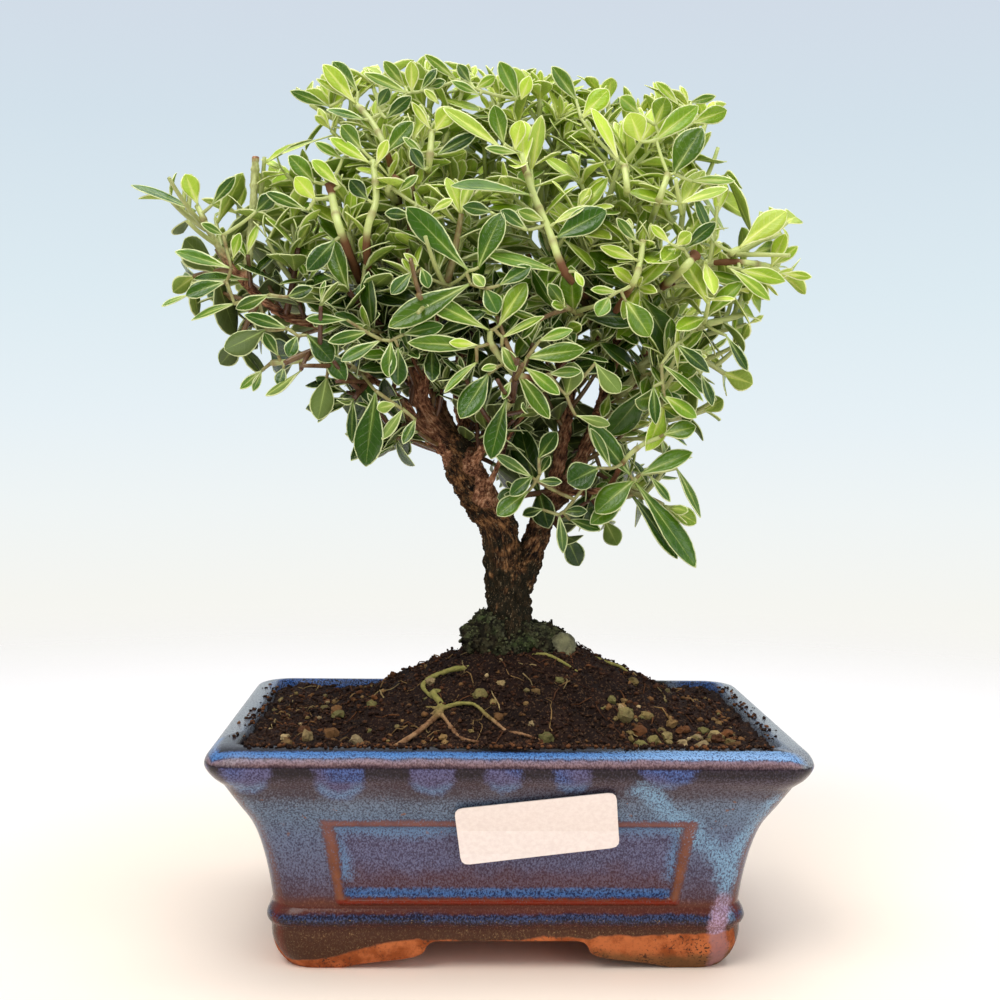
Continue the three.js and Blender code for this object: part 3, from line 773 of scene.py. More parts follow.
# Turns these three layers towards others where the mask says so. None leaves a layer as it is.
def turned(layers, mask, *others, weights=(1, 1, 1)):
    result = []
    for layer, other, weight in zip(layers, others, weights):
        share = mask if weight == 1 else times(mask, weight)
        result.append(layer if other is None else blend(share, layer, other))
    return result


def makeGlaze():
    material, shader, place = startMaterial("blueGlaze")
    parts = partsOf(place)
    height, across = times(parts["Z"], 1 / mm), times(parts["X"], 1 / mm)
    drift, ragged, patches = wanderOf(place, 120, 3), wanderOf(place, 700, 3), wanderOf(place, 42, 2)
    wall = layered(stirred(height, (drift, 2.2), (ragged, 1.1)), pot["rimTop"], glaze["wall"])
    wall[2] = stirred(wall[2], (patches, 0.6))

    # glaze that has run down from the rim in tongues with a pale fringe
    tongue = stirred(trait(material, "tongue"), (ragged, 2.6), (drift, 2.4))
    inTongue = times(band(height, 45.0, 47.5), band(height, 57.4, 56.4), band(tongue, 1.0, -1.4))
    fringe = times(band(tongue, -3.6, -1.2), band(height, 54.5, 50.5), inTongue)
    royal = times(band(patches, -0.06, 0.08), band(height, 52, 54))
    tongueDark = blend(royal, paint(56, 48, 76), paint(34, 36, 74))
    tongueFlecks = blend(royal, paint(98, 96, 132), paint(76, 98, 152))
    wall = turned(wall, inTongue, tongueDark, tongueFlecks, grey(0.5))
    wall = turned(wall, fringe, paint(66, 78, 108), paint(112, 138, 170), None)

    # the rim: a painted pinkish highlight along its rounded edge, a sky-blue band, then almost black; at the
    # ends a painted grey reflection
    way = stirred(trait(material, "rimWay"), (drift, 1.6), (ragged, 0.9))
    rim = layered(way, glaze["rimWay"], glaze["rim"])
    deep = times(calc("ABSOLUTE", parts["Y"]), 1 / mm)
    endward = minus(calc("ABSOLUTE", across), plus(deep, pot["sideCut"]))
    beyond = band(endward, 0, 3)
    # painted reflection: the end rims turn pale grey, as the glossy glaze mirrors the bright room
    rim = turned(rim, beyond, paint(76, 77, 82), paint(142, 145, 148), grey(0.58))
    innerLip = times(band(way, 9, 10.6), beyond)
    rim = turned(rim, innerLip, paint(40, 40, 46), paint(98, 108, 124), None)
    backWall = times(band(parts["Y"], 0.02, 0.04), band(way, 8.6, 9.6), band(patches, -0.1, 0.02))
    rim = turned(rim, backWall, None, paint(66, 98, 158), grey(0.5))
    rightEnd = times(band(across, 20, 56), band(way, 2.2, 3.0), band(way, 8.6, 7.4), band(endward, 6, 0))
    rim = turned(rim, rightEnd, None, paint(118, 156, 198), grey(0.66))
    # painted reflection: a pale grey satin sheen on the left end of the rim
    leftEnd = times(band(across, -50, -72), band(drift, -0.14, 0.06))
    rim = turned(rim, leftEnd, paint(88, 82, 94), paint(140, 138, 140), None, weights=(0.6, 0.7, 1))
    wall = turned(wall, band(stirred(height, (ragged, 0.6)), 56.9, 57.3), *rim)

    # the panel: a rusty raised edge, blue pooled inside it, a purple field that reddens downwards
    inset = stirred(trait(material, "inset"), (ragged, 1.6))
    onRidge = stirred(trait(material, "ridgeInset"), (ragged, 1.0))
    low = stirred(trait(material, "lowInset"), (ragged, 1.4))
    inside = band(onRidge, 1.5, 2.3)
    redness = band(stirred(low, (drift, 10)), 13, 5)
    field = blend(redness, paint(62, 54, 78), paint(66, 36, 42))
    fieldFlecks = blend(redness, paint(104, 106, 136), paint(94, 72, 84))
    edging = times(band(stirred(inset, (drift, 5)), 7.0, 3.2), band(low, 4, 9))
    fieldFlecks = blend(edging, fieldFlecks, paint(100, 130, 166))
    wall = turned(wall, inside, field, fieldFlecks, blend(edging, grey(0.46), grey(0.62)))
    pooled = times(band(low, 1.2, 1.8), band(low, 4.8, 3.6), inside)
    wall = turned(wall, pooled, paint(30, 34, 64), paint(70, 102, 150), grey(0.54))
    ridge = times(band(onRidge, -0.7, 0.4), band(onRidge, 2.1, 1.2), band(plus(patches, low), -0.2, 0.6))
    rust = blend(grainOf(place, 300, 4), paint(76, 38, 28), paint(142, 84, 54))
    rust = blend(band(low, 26, 10, 0.35, 0), rust, paint(104, 84, 100))
    rust = blend(band(low, 1.9, 0.9), rust, paint(112, 32, 12))

    # streaks that meet and run down to the foot at the right of the front, corners and edges where it has run
    # thin, and a drip down one foot
    streak = band(stirred(trait(material, "streak"), (drift, 8), (ragged, 3)), 4.4, 0.4)
    wall = turned(wall, streak, paint(74, 80, 104), paint(122, 158, 186), grey(0.62), weights=(0.7, 1, 0.8))
    corner = times(trait(material, "corner"), band(height, 52, 47), band(drift, -0.24, -0.04))
    thin = calc("MAXIMUM", ridge, times(corner, 0.85))
    wall = turned(wall, thin, rust, None, grey(0.1))
    drip = times(band(stirred(trait(material, "drip"), (ragged, 2.4)), 3.2, 1.4), band(height, 26, 15))
    wall = turned(wall, drip, paint(136, 100, 108), paint(176, 148, 174), grey(0.46), weights=(0.8, 1, 1))

    dark, flecks, thickness = wall
    stretched = addNode("VectorMath", {0: place, 1: (1, 1, 0.7)}, operation="MULTIPLY").outputs["Vector"]
    fine = times(minus(grainOf(stretched, 2300, 3, 0.62), 0.5), 2.5)
    specks = band(plus(fine, thickness), 0.2, 0.8)
    colour = blend(specks, dark, flecks)
    goldSpots = times(spotted(place, 2300.0, 0.66, 0.05), band(height, 18, 13, 0.12, 0.65))
    colour = blend(goldSpots, colour, paint(160, 128, 84))
    onWall = times(band(height, 34, 40), band(height, 50, 47))
    colour = blend(times(spotted(place, 520.0, 0.69, 0.03), onWall, 0.75), colour, paint(128, 84, 58))

    # bare fired clay below the glaze, with soot in its pores
    clay = mottled(place, 200.0, paint(140, 68, 28), paint(184, 102, 56), 0.12)["Color"]
    olive = times(band(stirred(height, (drift, 9)), 6, 2.6), band(across, 10, 40))
    clay = blend(times(olive, 0.75), clay, paint(92, 72, 42))
    sootZone = band(spotted(place, 80.0, 0.48, 0.1), 0, 1, 0.2, 0.9)
    clay = blend(times(spotted(place, 1500.0, 0.58, 0.06), sootZone), clay, paint(48, 34, 26))
    clay = blend(times(drip, 0.7), clay, paint(156, 112, 112))
    bare = band(stirred(trait(material, "glazed"), (drift, 3)), 0.4, -0.3)
    body = plus(times(specks, 0.3), grainOf(place, 300, 3))
    wire(
        shader, colour=blend(bare, colour, clay), normal=bump(body, 0.14, 0.0006), specular=glaze["specular"],
        roughness=blend(bare, grey(glaze["gloss"]), grey(glaze["clayRoughness"])),
    )
    return material


def makePot():
    columns, rows = potColumns(), potRows()
    lipEdge = min(rows, key=lambda row: abs(row[0] - pot["lipTop"]) + abs(row[1] - pot["rimTop"]))
    rimInner = rows.index(lipEdge)

    def place(column, row):
        half, height = rows[row]
        outside = 1.0 if row < rimInner - 8 else smoothStep(rimInner + 4, rimInner - 8, row)
        return potPlace(columns[column], half, height, outside)

    bm = bmesh.new()
    loftRings(bm, len(columns), len(rows), place)
    bmesh.ops.recalc_face_normals(bm, faces=bm.faces)
    cutters = [archCutter(*pot["frontArch"], False), archCutter(*pot["endArch"], True), pocketCutter()]
    cutters += [holeCutter(pot["holeX"]), holeCutter(-pot["holeX"])]
    bm = cutAway(bm, cutters)
    bmesh.ops.remove_doubles(bm, verts=bm.verts, dist=0.02)
    sharp = [edge for edge in bm.edges if edge.is_manifold and edge.calc_face_angle(0) > 0.7
             and max(vert.co.z for vert in edge.verts) < pot["underside"] + 0.1]
    bmesh.ops.bevel(bm, geom=sharp, offset=pot["softEdge"], segments=2, profile=0.5, affect="EDGES",
                    material=-1, clamp_overlap=True)
    layers = floatLayers(bm, potTraits((0, 0, 0)))
    for vert in bm.verts:
        for name, value in potTraits(vert.co).items():
            vert[layers[name]] = value
    finishPiece("glazed_pot", bm, makeGlaze(), ["pot"])


makePot()
print("pot ready")


def makePaper():
    material, shader, place = startMaterial("labelPaper")
    fibre = mottled(place, 900.0, paint(234, 220, 213), paint(243, 231, 224), 0.2)
    wire(shader, colour=fibre["Color"], roughness=0.55, normal=bump(fibre["Grain"], 0.08, 0.0002))
    return material


def makePlastic():
    material, shader, place = startMaterial("screenPlastic")
    tone = mottled(place, 500.0, paint(30, 33, 30), paint(46, 48, 44), 0.2)
    wire(shader, colour=tone["Color"], roughness=0.65, normal=bump(tone["Grain"], 0.1, 0.0003))
    return material


def refinish(name, material):
    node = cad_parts[name]
    node.data.materials.clear()
    node.data.materials.append(material)


refinish("blank_label", makePaper())
screenPlastic = makePlastic()
for screenName in ("drain_screen_left", "drain_screen_right"):
    refinish(screenName, screenPlastic)
print("label and screens ready")


# Soil: a mound with a crumbly surface, and loose grains, stones and fibres on it.
soil = {
    "moundX": 5, "stretch": 1.22, "top": 78.5, "plateau": 16.5, "slope": 0.46, "low": 59,
    "gap": 0.32, "bedding": 1.3, "columns": 156, "rows": 110, "corner": 4.7, "coarse": 0.9, "fine": 0.55,
    "halfX": 68, "halfY": 49, "seed": 11,
}


def soilHeight(x, y):
    reach = math.hypot(x - soil["moundX"], y * soil["stretch"])
    cone = soil["top"] - soil["slope"] * max(0, reach - soil["plateau"])
    waves = 0.6 * math.sin(0.31 * x + 1.3) * math.cos(0.27 * y) + 0.45 * math.sin(0.83 * x + 0.57 * y)
    return max(soil["low"], cone) + waves


def crumbHeight(x, y):
    coarse = noise.fractal(Vector((x, y, 3.1)) * 0.33, 1.0, 2.2, 3)
    fine = noise.noise(Vector((x, y, 9.4)) * 1.1)
    return soilHeight(x, y) + soil["coarse"] * coarse + soil["fine"] * fine


# Draws a square's corners in to the pot's rounded ones.
def roundOff(x, y, halfX, halfY, corner):
    overX, overY = abs(x) - (halfX - corner), abs(y) - (halfY - corner)
    if overX <= 0 or overY <= 0:
        return x, y
    pull = max(overX, overY) / math.hypot(overX, overY)
    return (math.copysign(halfX - corner + overX * pull, x), math.copysign(halfY - corner + overY * pull, y))


def makeSoilMaterial():
    material, shader, place = startMaterial("pottingSoil")
    colour = shades(trait(material, "tone"), (
        (0.0, 34, 19, 13), (0.25, 50, 29, 19), (0.45, 84, 52, 33), (0.58, 112, 70, 40), (0.7, 142, 112, 70),
        (0.82, 118, 112, 66), (0.92, 168, 142, 98), (1.0, 188, 170, 132),
    ))
    damp = mottled(place, 110.0, grey(0.42), (1.15, 1.1, 1.05, 1), 0.16)["Color"]
    colour = addNode("Mix", {0: 0.75, 6: colour, 7: damp}, data_type="RGBA", blend_type="MULTIPLY").outputs[2]
    colour = coated(colour, (spotted(place, 1500.0, 0.6, 0.05), 0.5, (108, 80, 56)))
    height = gritty(place, 900.0, 2600.0, 0.6)
    wire(shader, colour=colour, roughness=0.86, normal=bump(height, 0.7, 0.0006), specular=0.15)
    return material


def makeSoilBed(material):
    bm = bmesh.new()
    bmesh.ops.create_grid(bm, x_segments=soil["columns"], y_segments=soil["rows"], size=1)
    topHalf = halfAt(pot["lip"], soil["low"]) - soil["gap"]
    topSide = topHalf - pot["sideCut"]
    for vert in bm.verts:
        x, y = roundOff(vert.co.x * topHalf, vert.co.y * topSide, topHalf, topSide, soil["corner"])
        vert.co = (x, y, crumbHeight(x, y))
    edges = [edge for edge in bm.edges if edge.is_boundary]
    lowestHalf = pot["inside"][-1][0]
    bottom = (lowestHalf, pot["floorTop"] + soil["gap"] + soil["bedding"])
    for half, height in (pot["lip"][0], *pot["inside"][:-1], bottom):
        ring, edges = growRing(bm, edges)
        nextHalf, nextSide = half - soil["gap"], half - soil["gap"] - pot["sideCut"]
        for vert in ring:
            vert.co = (vert.co.x * (nextHalf / topHalf), vert.co.y * (nextSide / topSide), height)
        topHalf, topSide = nextHalf, nextSide
    bmesh.ops.contextual_create(bm, geom=edges)
    bmesh.ops.recalc_face_normals(bm, faces=bm.faces)
    finishPiece("soil_bed", bm, material, ["soil"])


# A small mesh that copies are made from. The layers named are filled in copy by copy.
def smallTemplate(name, bm, layers):
    floatLayers(bm, layers)
    return meshOf(name, bm)


def lumpTemplate(name, subdivisions):
    bm = bmesh.new()
    bmesh.ops.create_icosphere(bm, subdivisions=subdivisions, radius=1)
    return smallTemplate(name, bm, ["tone"])


def addCopy(bm, template):
    before = len(bm.verts)
    bm.from_mesh(template)
    bm.verts.ensure_lookup_table()
    return bm.verts[before:]


# A lump of soil or stone: an uneven ball, squashed and turned at random.
def addLump(bm, template, rng, middle, radius, flatness, tone):
    turn = Matrix.Rotation(rng.uniform(0, 6.28), 3, "Z") @ Matrix.Rotation(rng.uniform(-0.9, 0.9), 3, "X")
    stretch = Vector((1, rng.uniform(*flatness), rng.uniform(*flatness)))
    shift = Vector((rng.uniform(0, 90), rng.uniform(0, 90), 0))
    verts = addCopy(bm, template)
    layer = bm.verts.layers.float["tone"]
    for vert in verts:
        bumpy = 1 + 0.6 * noise.noise(vert.co * 1.6 + shift)
        vert.co = Vector(middle) + turn @ (vert.co * stretch * (radius * bumpy))
        vert[layer] = tone


# A spot on the soil, oftener near the walls when edgeward is above 1.
def soilSpot(rng, edgeward=1.0):
    around = rng.uniform(0, 2 * math.pi)
    out = rng.random() ** (0.5 / edgeward)
    x, y = math.cos(around) * out, math.sin(around) * out
    square = max(abs(math.cos(around)), abs(math.sin(around)))
    return x / square * (soil["halfX"] - 1), y / square * (soil["halfY"] - 1)


# Loose grains on the soil: how many, how much oftener near the walls, radius, tones, how far they stand out
# as a share of the radius, and how flat they are. Spilt crumbs lie on the lip, every sixth at one end.
grains = (
    {"count": 4600, "edgeward": 1, "radius": (0.28, 0.75), "tones": (0.0, 0.04, 0.1, 0.16, 0.24, 0.36),
     "lift": 0.3, "flatness": (0.5, 1)},
    {"count": 760, "edgeward": 1.25, "radius": (0.6, 1.25), "tones": (0.1, 0.2, 0.34, 0.45, 0.52, 0.62),
     "lift": 0.25, "flatness": (0.3, 0.8)},
)
spilt = {
    "count": 820, "alongFront": 67, "front": (48.8, 53.6, 50), "alongEnd": 40, "end": (67.6, 74, 69),
    "radius": (0.3, 0.75), "tones": (0.02, 0.1, 0.3, 0.56), "lift": 0.5, "flatness": (0.5, 1),
}
stones = {
    "count": 210, "edgeward": 1.9, "atFront": 0.25, "frontX": (24, 61), "frontY": (-42, -22),
    "tones": (0.48, 0.56, 0.62, 0.7, 0.76, 0.82, 0.86, 0.94), "lift": 0.2, "flatness": (0.55, 0.95),
    # those that stand out on the front of the mound: x, y, radius and tone
    "known": (
        (-7.5, -27, 2.2, 0.8), (-4, -30, 1.1, 0.76), (-1.8, -24, 1.2, 0.9), (7.5, -26, 1.3, 0.7),
        (31, -33, 2.2, 0.85), (38, -38, 1.9, 0.8), (-47, -31, 2.1, 0.62), (-53, -36, 1.9, 0.9),
        (-40, -39, 1.8, 0.95), (56, -30, 2.4, 0.88),
    ),
    "knownLift": 0.4, "knownFlatness": (0.75, 1),
}


def emptyLumps():
    bm = bmesh.new()
    bm.verts.layers.float.new("tone")
    return bm


def addSpilt(bm, template, rng):
    for number in range(spilt["count"]):
        x = rng.uniform(-spilt["alongFront"], spilt["alongFront"])
        y = -rng.triangular(*spilt["front"])
        radius = rng.uniform(*spilt["radius"])
        if number % 6 == 5:
            x = rng.choice((-1, 1)) * rng.triangular(*spilt["end"])
            y = rng.uniform(-spilt["alongEnd"], spilt["alongEnd"])
        inward = max(0, max(abs(x), abs(y) + pot["sideCut"]) - pot["lipTop"])
        lip = pot["rimTop"] - 0.1 - pot["lipSlope"] * inward
        tone = rng.choice(spilt["tones"])
        addLump(bm, template, rng, (x, y, lip + radius * spilt["lift"]), radius, spilt["flatness"], tone)


def makeSoilGrains(material):
    rng = random.Random(soil["seed"])
    crumb, stone = lumpTemplate("crumb", 1), lumpTemplate("stone", 2)
    bm = emptyLumps()
    for kind in grains:
        for number in range(kind["count"]):
            x, y = soilSpot(rng, kind["edgeward"])
            radius = rng.uniform(*kind["radius"])
            tone = rng.choice(kind["tones"])
            middle = (x, y, crumbHeight(x, y) + radius * kind["lift"])
            addLump(bm, crumb, rng, middle, radius, kind["flatness"], tone)
    addSpilt(bm, crumb, rng)
    finishPiece("soil_crumbs", bm, material)
    bm = emptyLumps()
    for number in range(stones["count"]):
        x, y = soilSpot(rng, stones["edgeward"])
        if rng.random() < stones["atFront"]:
            x, y = rng.uniform(*stones["frontX"]), rng.uniform(*stones["frontY"])
        radius = 0.7 + 1.5 * rng.random() ** 3
        tone = rng.choice(stones["tones"])
        middle = (x, y, crumbHeight(x, y) + radius * stones["lift"])
        addLump(bm, stone, rng, middle, radius, stones["flatness"], tone)
    for x, y, radius, tone in stones["known"]:
        middle = (x, y, crumbHeight(x, y) + radius * stones["knownLift"])
        addLump(bm, stone, rng, middle, radius, stones["knownFlatness"], tone)
    finishPiece("soil_stones", bm, material, smooth=False)


# Thin curved fibres of peat and root, lying on the surface.
fibre = {
    "count": 260, "stride": (0.8, 1.9), "wander": 0.6, "thick": (0.1, 0.24), "sides": 4,
    "taper": (1, 1, 1, 0.8, 0.5),
    "tones": (0.3, 0.45, 0.55, 0.7, 0.9), "lift": 0.45, "ripple": 0.5, "inward": 2,
}


def makeFibres(material):
    rng = random.Random(soil["seed"] + 1)
    whole = bmesh.new()
    for number in range(fibre["count"]):
        x, y = soilSpot(rng)
        heading = rng.uniform(0, 2 * math.pi)
        stride = rng.uniform(*fibre["stride"])
        points = []
        for step in range(len(fibre["taper"])):
            lift = fibre["lift"] + fibre["ripple"] * math.sin(step * 1.3 + number)
            points.append((x, y, crumbHeight(x, y) + lift))
            heading += rng.uniform(-fibre["wander"], fibre["wander"])
            x += stride * math.cos(heading)
            y += stride * math.sin(heading)
        if abs(x) > soil["halfX"] - fibre["inward"] or abs(y) > soil["halfY"] - fibre["inward"]:
            continue
        thick = rng.uniform(*fibre["thick"])
        strand = bmesh.new()
        roundTube(strand, points, [thick * share for share in fibre["taper"]], fibre["sides"])
        layer = strand.verts.layers.float.new("tone")
        tone = rng.choice(fibre["tones"])
        for vert in strand.verts:
            vert[layer] = tone
        joinInto(whole, strand)
    finishPiece("soil_fibres", whole, material)


pottingSoil = makeSoilMaterial()
makeSoilBed(pottingSoil)
makeSoilGrains(pottingSoil)
makeFibres(pottingSoil)
print("soil ready")


# Root clod round the foot of the trunk: crumbly, mossy lumps, and a stone grown into the right side.
clod = {
    "lumps": ((-4.5, -2, 80.5, 7.8, 9, 9.2), (6.5, 0.5, 79.5, 11.5, 10, 7.4), (-1, 7, 79, 8, 7, 7.5)),
    "stone": (16.4, -3, 78.6, 4.6, 5.2, 5.2), "voxel": 0.5, "crumble": 1.0, "tufts": 900, "tuftsFrom": 74,
    "seed": 23,
}


def makeMossMaterial():
    material, shader, place = startMaterial("mossyRoots")
    colour = coated(
        mottled(place, 330.0, paint(30, 28, 19), paint(80, 79, 54), 0.13)["Color"],
        (spotted(place, 620.0, 0.6, 0.05), 0.5, (112, 114, 86)),
        (spotted(place, 150.0, 0.56, 0.08), 0.5, (72, 88, 46)),
        (spotted(place, 120.0, 0.52, 0.06), 0.65, (44, 32, 21)),
        (spotted(place, 480.0, 0.52, 0.06), 0.8, (18, 15, 11)),
        (trait(material, "tone"), 0.8, (96, 98, 66)),
    )
    height = gritty(place, 700.0, 2400.0, 0.6)
    wire(shader, colour=colour, roughness=0.92, normal=bump(height, 0.8, 0.0008), specular=0.12)
    return material


def makeStoneMaterial():
    material, shader, place = startMaterial("mossyStone")
    face = mottled(place, 260.0, paint(66, 64, 42), paint(122, 118, 82), 0.16)["Color"]
    colour = coated(face, (spotted(place, 900.0, 0.6, 0.05), 0.7, (70, 62, 40)))
    height = gritty(place, 500.0, 2000.0, 0.5)
    wire(shader, colour=colour, roughness=0.8, normal=bump(height, 0.6, 0.0006))
    return material


def makeClod(material):
    bm = bmesh.new()
    for number, (cx, cy, cz, rx, ry, rz) in enumerate(clod["lumps"]):
        ball = bmesh.ops.create_icosphere(bm, subdivisions=4, radius=1)["verts"]
        for vert in ball:
            x, y, z = vert.co
            bumpy = 1 + 0.1 * math.sin(5 * x + 3 * y + number) * math.cos(4 * z + 2 * x)
            vert.co = (cx + x * rx * bumpy, cy + y * ry * bumpy, cz + z * rz * bumpy)
    bm = withModifiers(bm, ("REMESH", {"mode": "VOXEL", "voxel_size": clod["voxel"]}))
    bm.normal_update()
    moved = []
    for vert in bm.verts:
        lump = noise.fractal(vert.co * 0.42, 1.0, 2.1, 4)
        crease = abs(noise.noise(vert.co * 0.9 + up * 5))
        rough = noise.fractal(vert.co * 1.5, 1.0, 2.0, 3)
        moved.append(vert.co + vert.normal * clod["crumble"] * (lump * 1.3 - 0.7 * crease + 0.45 * rough))
    for vert, place in zip(bm.verts, moved):
        vert.co = place
    bm.verts.layers.float.new("tone")
    rng = random.Random(clod["seed"])
    tuft = lumpTemplate("tuft", 1)
    spotsAbove = [(vert.co.copy(), vert.normal.copy()) for vert in bm.verts if vert.co.z > clod["tuftsFrom"]]
    tufts = emptyLumps()
    for number in range(clod["tufts"]):
        spot, way = rng.choice(spotsAbove)
        radius = rng.uniform(0.25, 0.6)
        tone = rng.choice((0, 0, 0.3, 0.6, 0.9))
        addLump(tufts, tuft, rng, spot + way * radius * 0.4, radius, (0.5, 1), tone)
    joinInto(bm, tufts)
    finishPiece("mossy_crust", bm, material, ["mossy_clod"])


def makeClodStone(material):
    cx, cy, cz, rx, ry, rz = clod["stone"]
    bm = bmesh.new()
    bmesh.ops.create_icosphere(bm, subdivisions=5, radius=1)
    for vert in bm.verts:
        facet = 1 + 0.16 * noise.noise(vert.co * 1.4) + 0.05 * noise.fractal(vert.co * 4, 1.0, 2.2, 3)
        vert.co = (cx + vert.co.x * rx * facet, cy + vert.co.y * ry * facet, cz + vert.co.z * rz * facet)
    finishPiece("clod_stone", bm, material, ["mossy_clod"])


makeClod(makeMossMaterial())
makeClodStone(makeStoneMaterial())
print("clod ready")


# Wood: trunk, branches, cut stubs and the roots that show on the soil.
wood = {
    "voxel": 0.47, "step": 1.1, "sides": 14, "twigSides": 8, "lumps": 0.2, "fissures": 0.15,
    "flakes": 0.17, "plates": 0.13, "plateScale": 0.62, "knots": 0.16, "knotEvery": 11,
    "crotch": (-11, -4, 137), "rootThickness": 0.88, "grainStretch": 0.3,
    "pale": {"highRight": 0.2, "paleRight": 0.15, "innerFork": 0.3, "highLeader": 0.4, "leftRise": 0.5},
}


limbs = {
    "trunk": ((1, 1, 57, 4), (1, 0, 72, 7.4), (1, 0, 84, 6.4), (1, 0, 93, 6.1), (2, 0, 103, 6.4)),
    "leftStem": (
        (0, 0, 94, 5.2), (-2, -2, 112, 5.3), (-7, -3, 121, 5.1), (-12, -4, 130, 5.2), (-16, -5, 139, 4),
    ),
    "rightStem": ((3, 0, 96, 4.8), (8, 2, 108, 3.7), (11, 4, 117, 3.2), (14, 5, 125, 2.6)),
    "lowLeft": (
        (-15, -5, 134, 2.4), (-23, -7, 140, 1.6), (-29, -12, 148, 1.2), (-35, -18, 153, 1),
        (-51, -28, 162, 0.8),
    ),
    "paleBark": (
        (-14, -5, 134, 4), (-24, -7, 148, 2.3), (-27, -12, 163, 2), (-29, -14, 177, 1.6), (-31, -12, 205, 1),
    ),
    "middleLeft": (
        (-14, -3, 134, 3), (-22, 4, 155, 1.4), (-24, 8, 167, 1.2), (-23, 12, 190, 1.1), (-24, 10, 213, 0.9),
    ),
    "darkBack": (
        (-11, -2, 130, 3.2), (-12, 8, 143, 2.2), (-14, 16, 156, 1.7), (-11, 24, 176, 1.3), (-6, 26, 212, 0.9),
    ),
    "crossTwig": ((-7, -4, 121, 1.1), (-3, -8, 131, 0.8), (1, -10, 141, 0.7), (11, -13, 155, 0.6)),
    "middleRight": (
        (13, 5, 121, 2.2), (18, 10, 146, 1.6), (19, 14, 162, 1.4), (15, 18, 180, 1.2), (10, 18, 206, 0.9),
    ),
    "rightLeader": (
        (10, 4, 116, 2.8), (19, 8, 127, 2.2), (28, 10, 149, 1.9), (32, 10, 171, 1.5), (33, 6, 208, 1),
    ),
    "innerFork": ((31, 10, 160, 1.5), (24, 2, 174, 1.2), (22, -4, 184, 1), (22, -8, 193, 0.8)),
    "paleRight": ((27, 9, 147, 1.5), (34, 2, 154, 1.5), (40, -6, 162, 1.4), (53, -16, 171, 1.1)),
    "highRight": ((32, 10, 168, 1.5), (34, 0, 176, 1.4), (45, -12, 183, 1.3), (60, -17, 190, 1)),
    "leftRise": ((-27, -12, 162, 1.6), (-35, -10, 171, 1.4), (-41, -8, 180, 1.4), (-46, -8, 196, 1)),
    "farLeft": (
        (-26, -10, 158, 1.7), (-44, -8, 168, 1.4), (-62, -10, 172, 1.3), (-75, -12, 183, 1.1),
        (-83, -14, 195, 0.9),
    ),
    "backLeft": ((-14, 15, 153, 1.5), (-26, 26, 164, 1.2), (-40, 36, 176, 1.1), (-50, 42, 190, 0.9)),
    "sideLeft": ((-24, 8, 165, 1.2), (-40, 14, 169, 1.1), (-56, 16, 172, 1), (-64, 14, 177, 0.9)),
    "backRight": ((28, 10, 148, 1.6), (38, 20, 160, 1.2), (48, 30, 172, 1.1), (54, 36, 184, 0.9)),
    "backMiddle": ((19, 14, 158, 1.4), (15, 30, 174, 1.2), (9, 40, 190, 1.1), (6, 46, 204, 0.9)),
    "lowBackRight": ((23, 10, 136, 1.4), (36, 16, 142, 1.1), (48, 18, 145, 0.9)),
    "highLeader": ((33, 8, 184, 1.2), (42, 4, 202, 1), (49, 0, 213, 0.8)),
    "lowFront": ((14, 5, 123, 1.3), (23, -1, 124, 1), (32, -8, 125, 0.8)),
    "frontFork": ((-10, -5, 131, 1.5), (-5, -16, 140, 1.1), (0, -27, 149, 0.8)),
    "frontRise": ((-24, -8, 150, 1.5), (-22, -19, 165, 1.1), (-18, -26, 179, 0.8)),
}
stubs = (
    ((-45, -8, 190, 1.3), (-47, -9, 199, 1.3), (-50, -10, 208, 1.2)),
    ((-73, -12, 180, 1.2), (-71, -12, 197, 1.2), (-70, -13, 215, 1.1)),
    ((44, -12, 182, 1.3), (51, -14, 191, 1.4)),
    ((-30, -13, 188, 1.2), (-34, -17, 200, 1.3)),
    ((32, 10, 170, 1.1), (37, 12, 190, 0.9)),
)
roots = (
    (
        (1, -2, -9, 2.4), (-9, -12, -5, 1.6), (-18, -20, -1, 1.2), (-20, -24, 0.5, 1), (-18, -30, 0.6, 1),
        (-26, -39, 0.6, 0.9), (-34, -44, -1.4, 0.7),
    ),
    (
        (-21, -30, -0.6, 0.7), (-17, -30, 0.7, 0.8), (-10, -31, 1.1, 0.7), (-5, -37, 0.8, 0.7),
        (1, -43, -1, 0.6),
    ),
    ((-22, -26, -0.4, 0.6), (-19, -29, 0.4, 0.7), (-16, -35, 0.4, 0.7), (-11, -42, -1, 0.6)),
    ((-16, -36, -0.2, 0.6), (-12, -42, 0.3, 0.6), (-3, -44, -1, 0.5)),
    ((-2, -40, -0.3, 0.6), (5, -43, 0.5, 0.6), (13, -44, -1, 0.5)),
    (
        (0, -4, -6, 1.4), (-12, -15, 0.4, 0.9), (-20, -14, 0.9, 0.9), (-23, -18, 0.6, 0.8),
        (-20, -25, -0.4, 0.7),
    ),
    ((3, -3, -6, 1), (9, -13, 0.2, 0.6), (16, -14, 0.5, 0.6), (23, -18, -1, 0.5)),
    ((4, 0, -7, 1.2), (22, -1, -2, 0.8), (29, -3, 1, 0.7), (34, -4, 1, 0.6), (37, -7, -1, 0.5)),
)


def curvePoints(points, step):
    places = [Vector(point[:3]) for point in points]
    length = sum((second - first).length for first, second in zip(places, places[1:]))
    count = max(4, round(length / step))
    samples = []
    for number in range(count + 1):
        share = number / count
        place = share * (len(points) - 1)
        below = min(int(place), len(points) - 2)
        radius = mix(points[below][3], points[below + 1][3], place - below)
        samples.append((splineAt(places, share), radius))
    return samples


def laidRoots():
    thinner = wood["rootThickness"]
    laid = []
    for root in roots:
        laid.append([(x, y, soilHeight(x, y) + lift, radius * thinner) for x, y, lift, radius in root])
    return laid


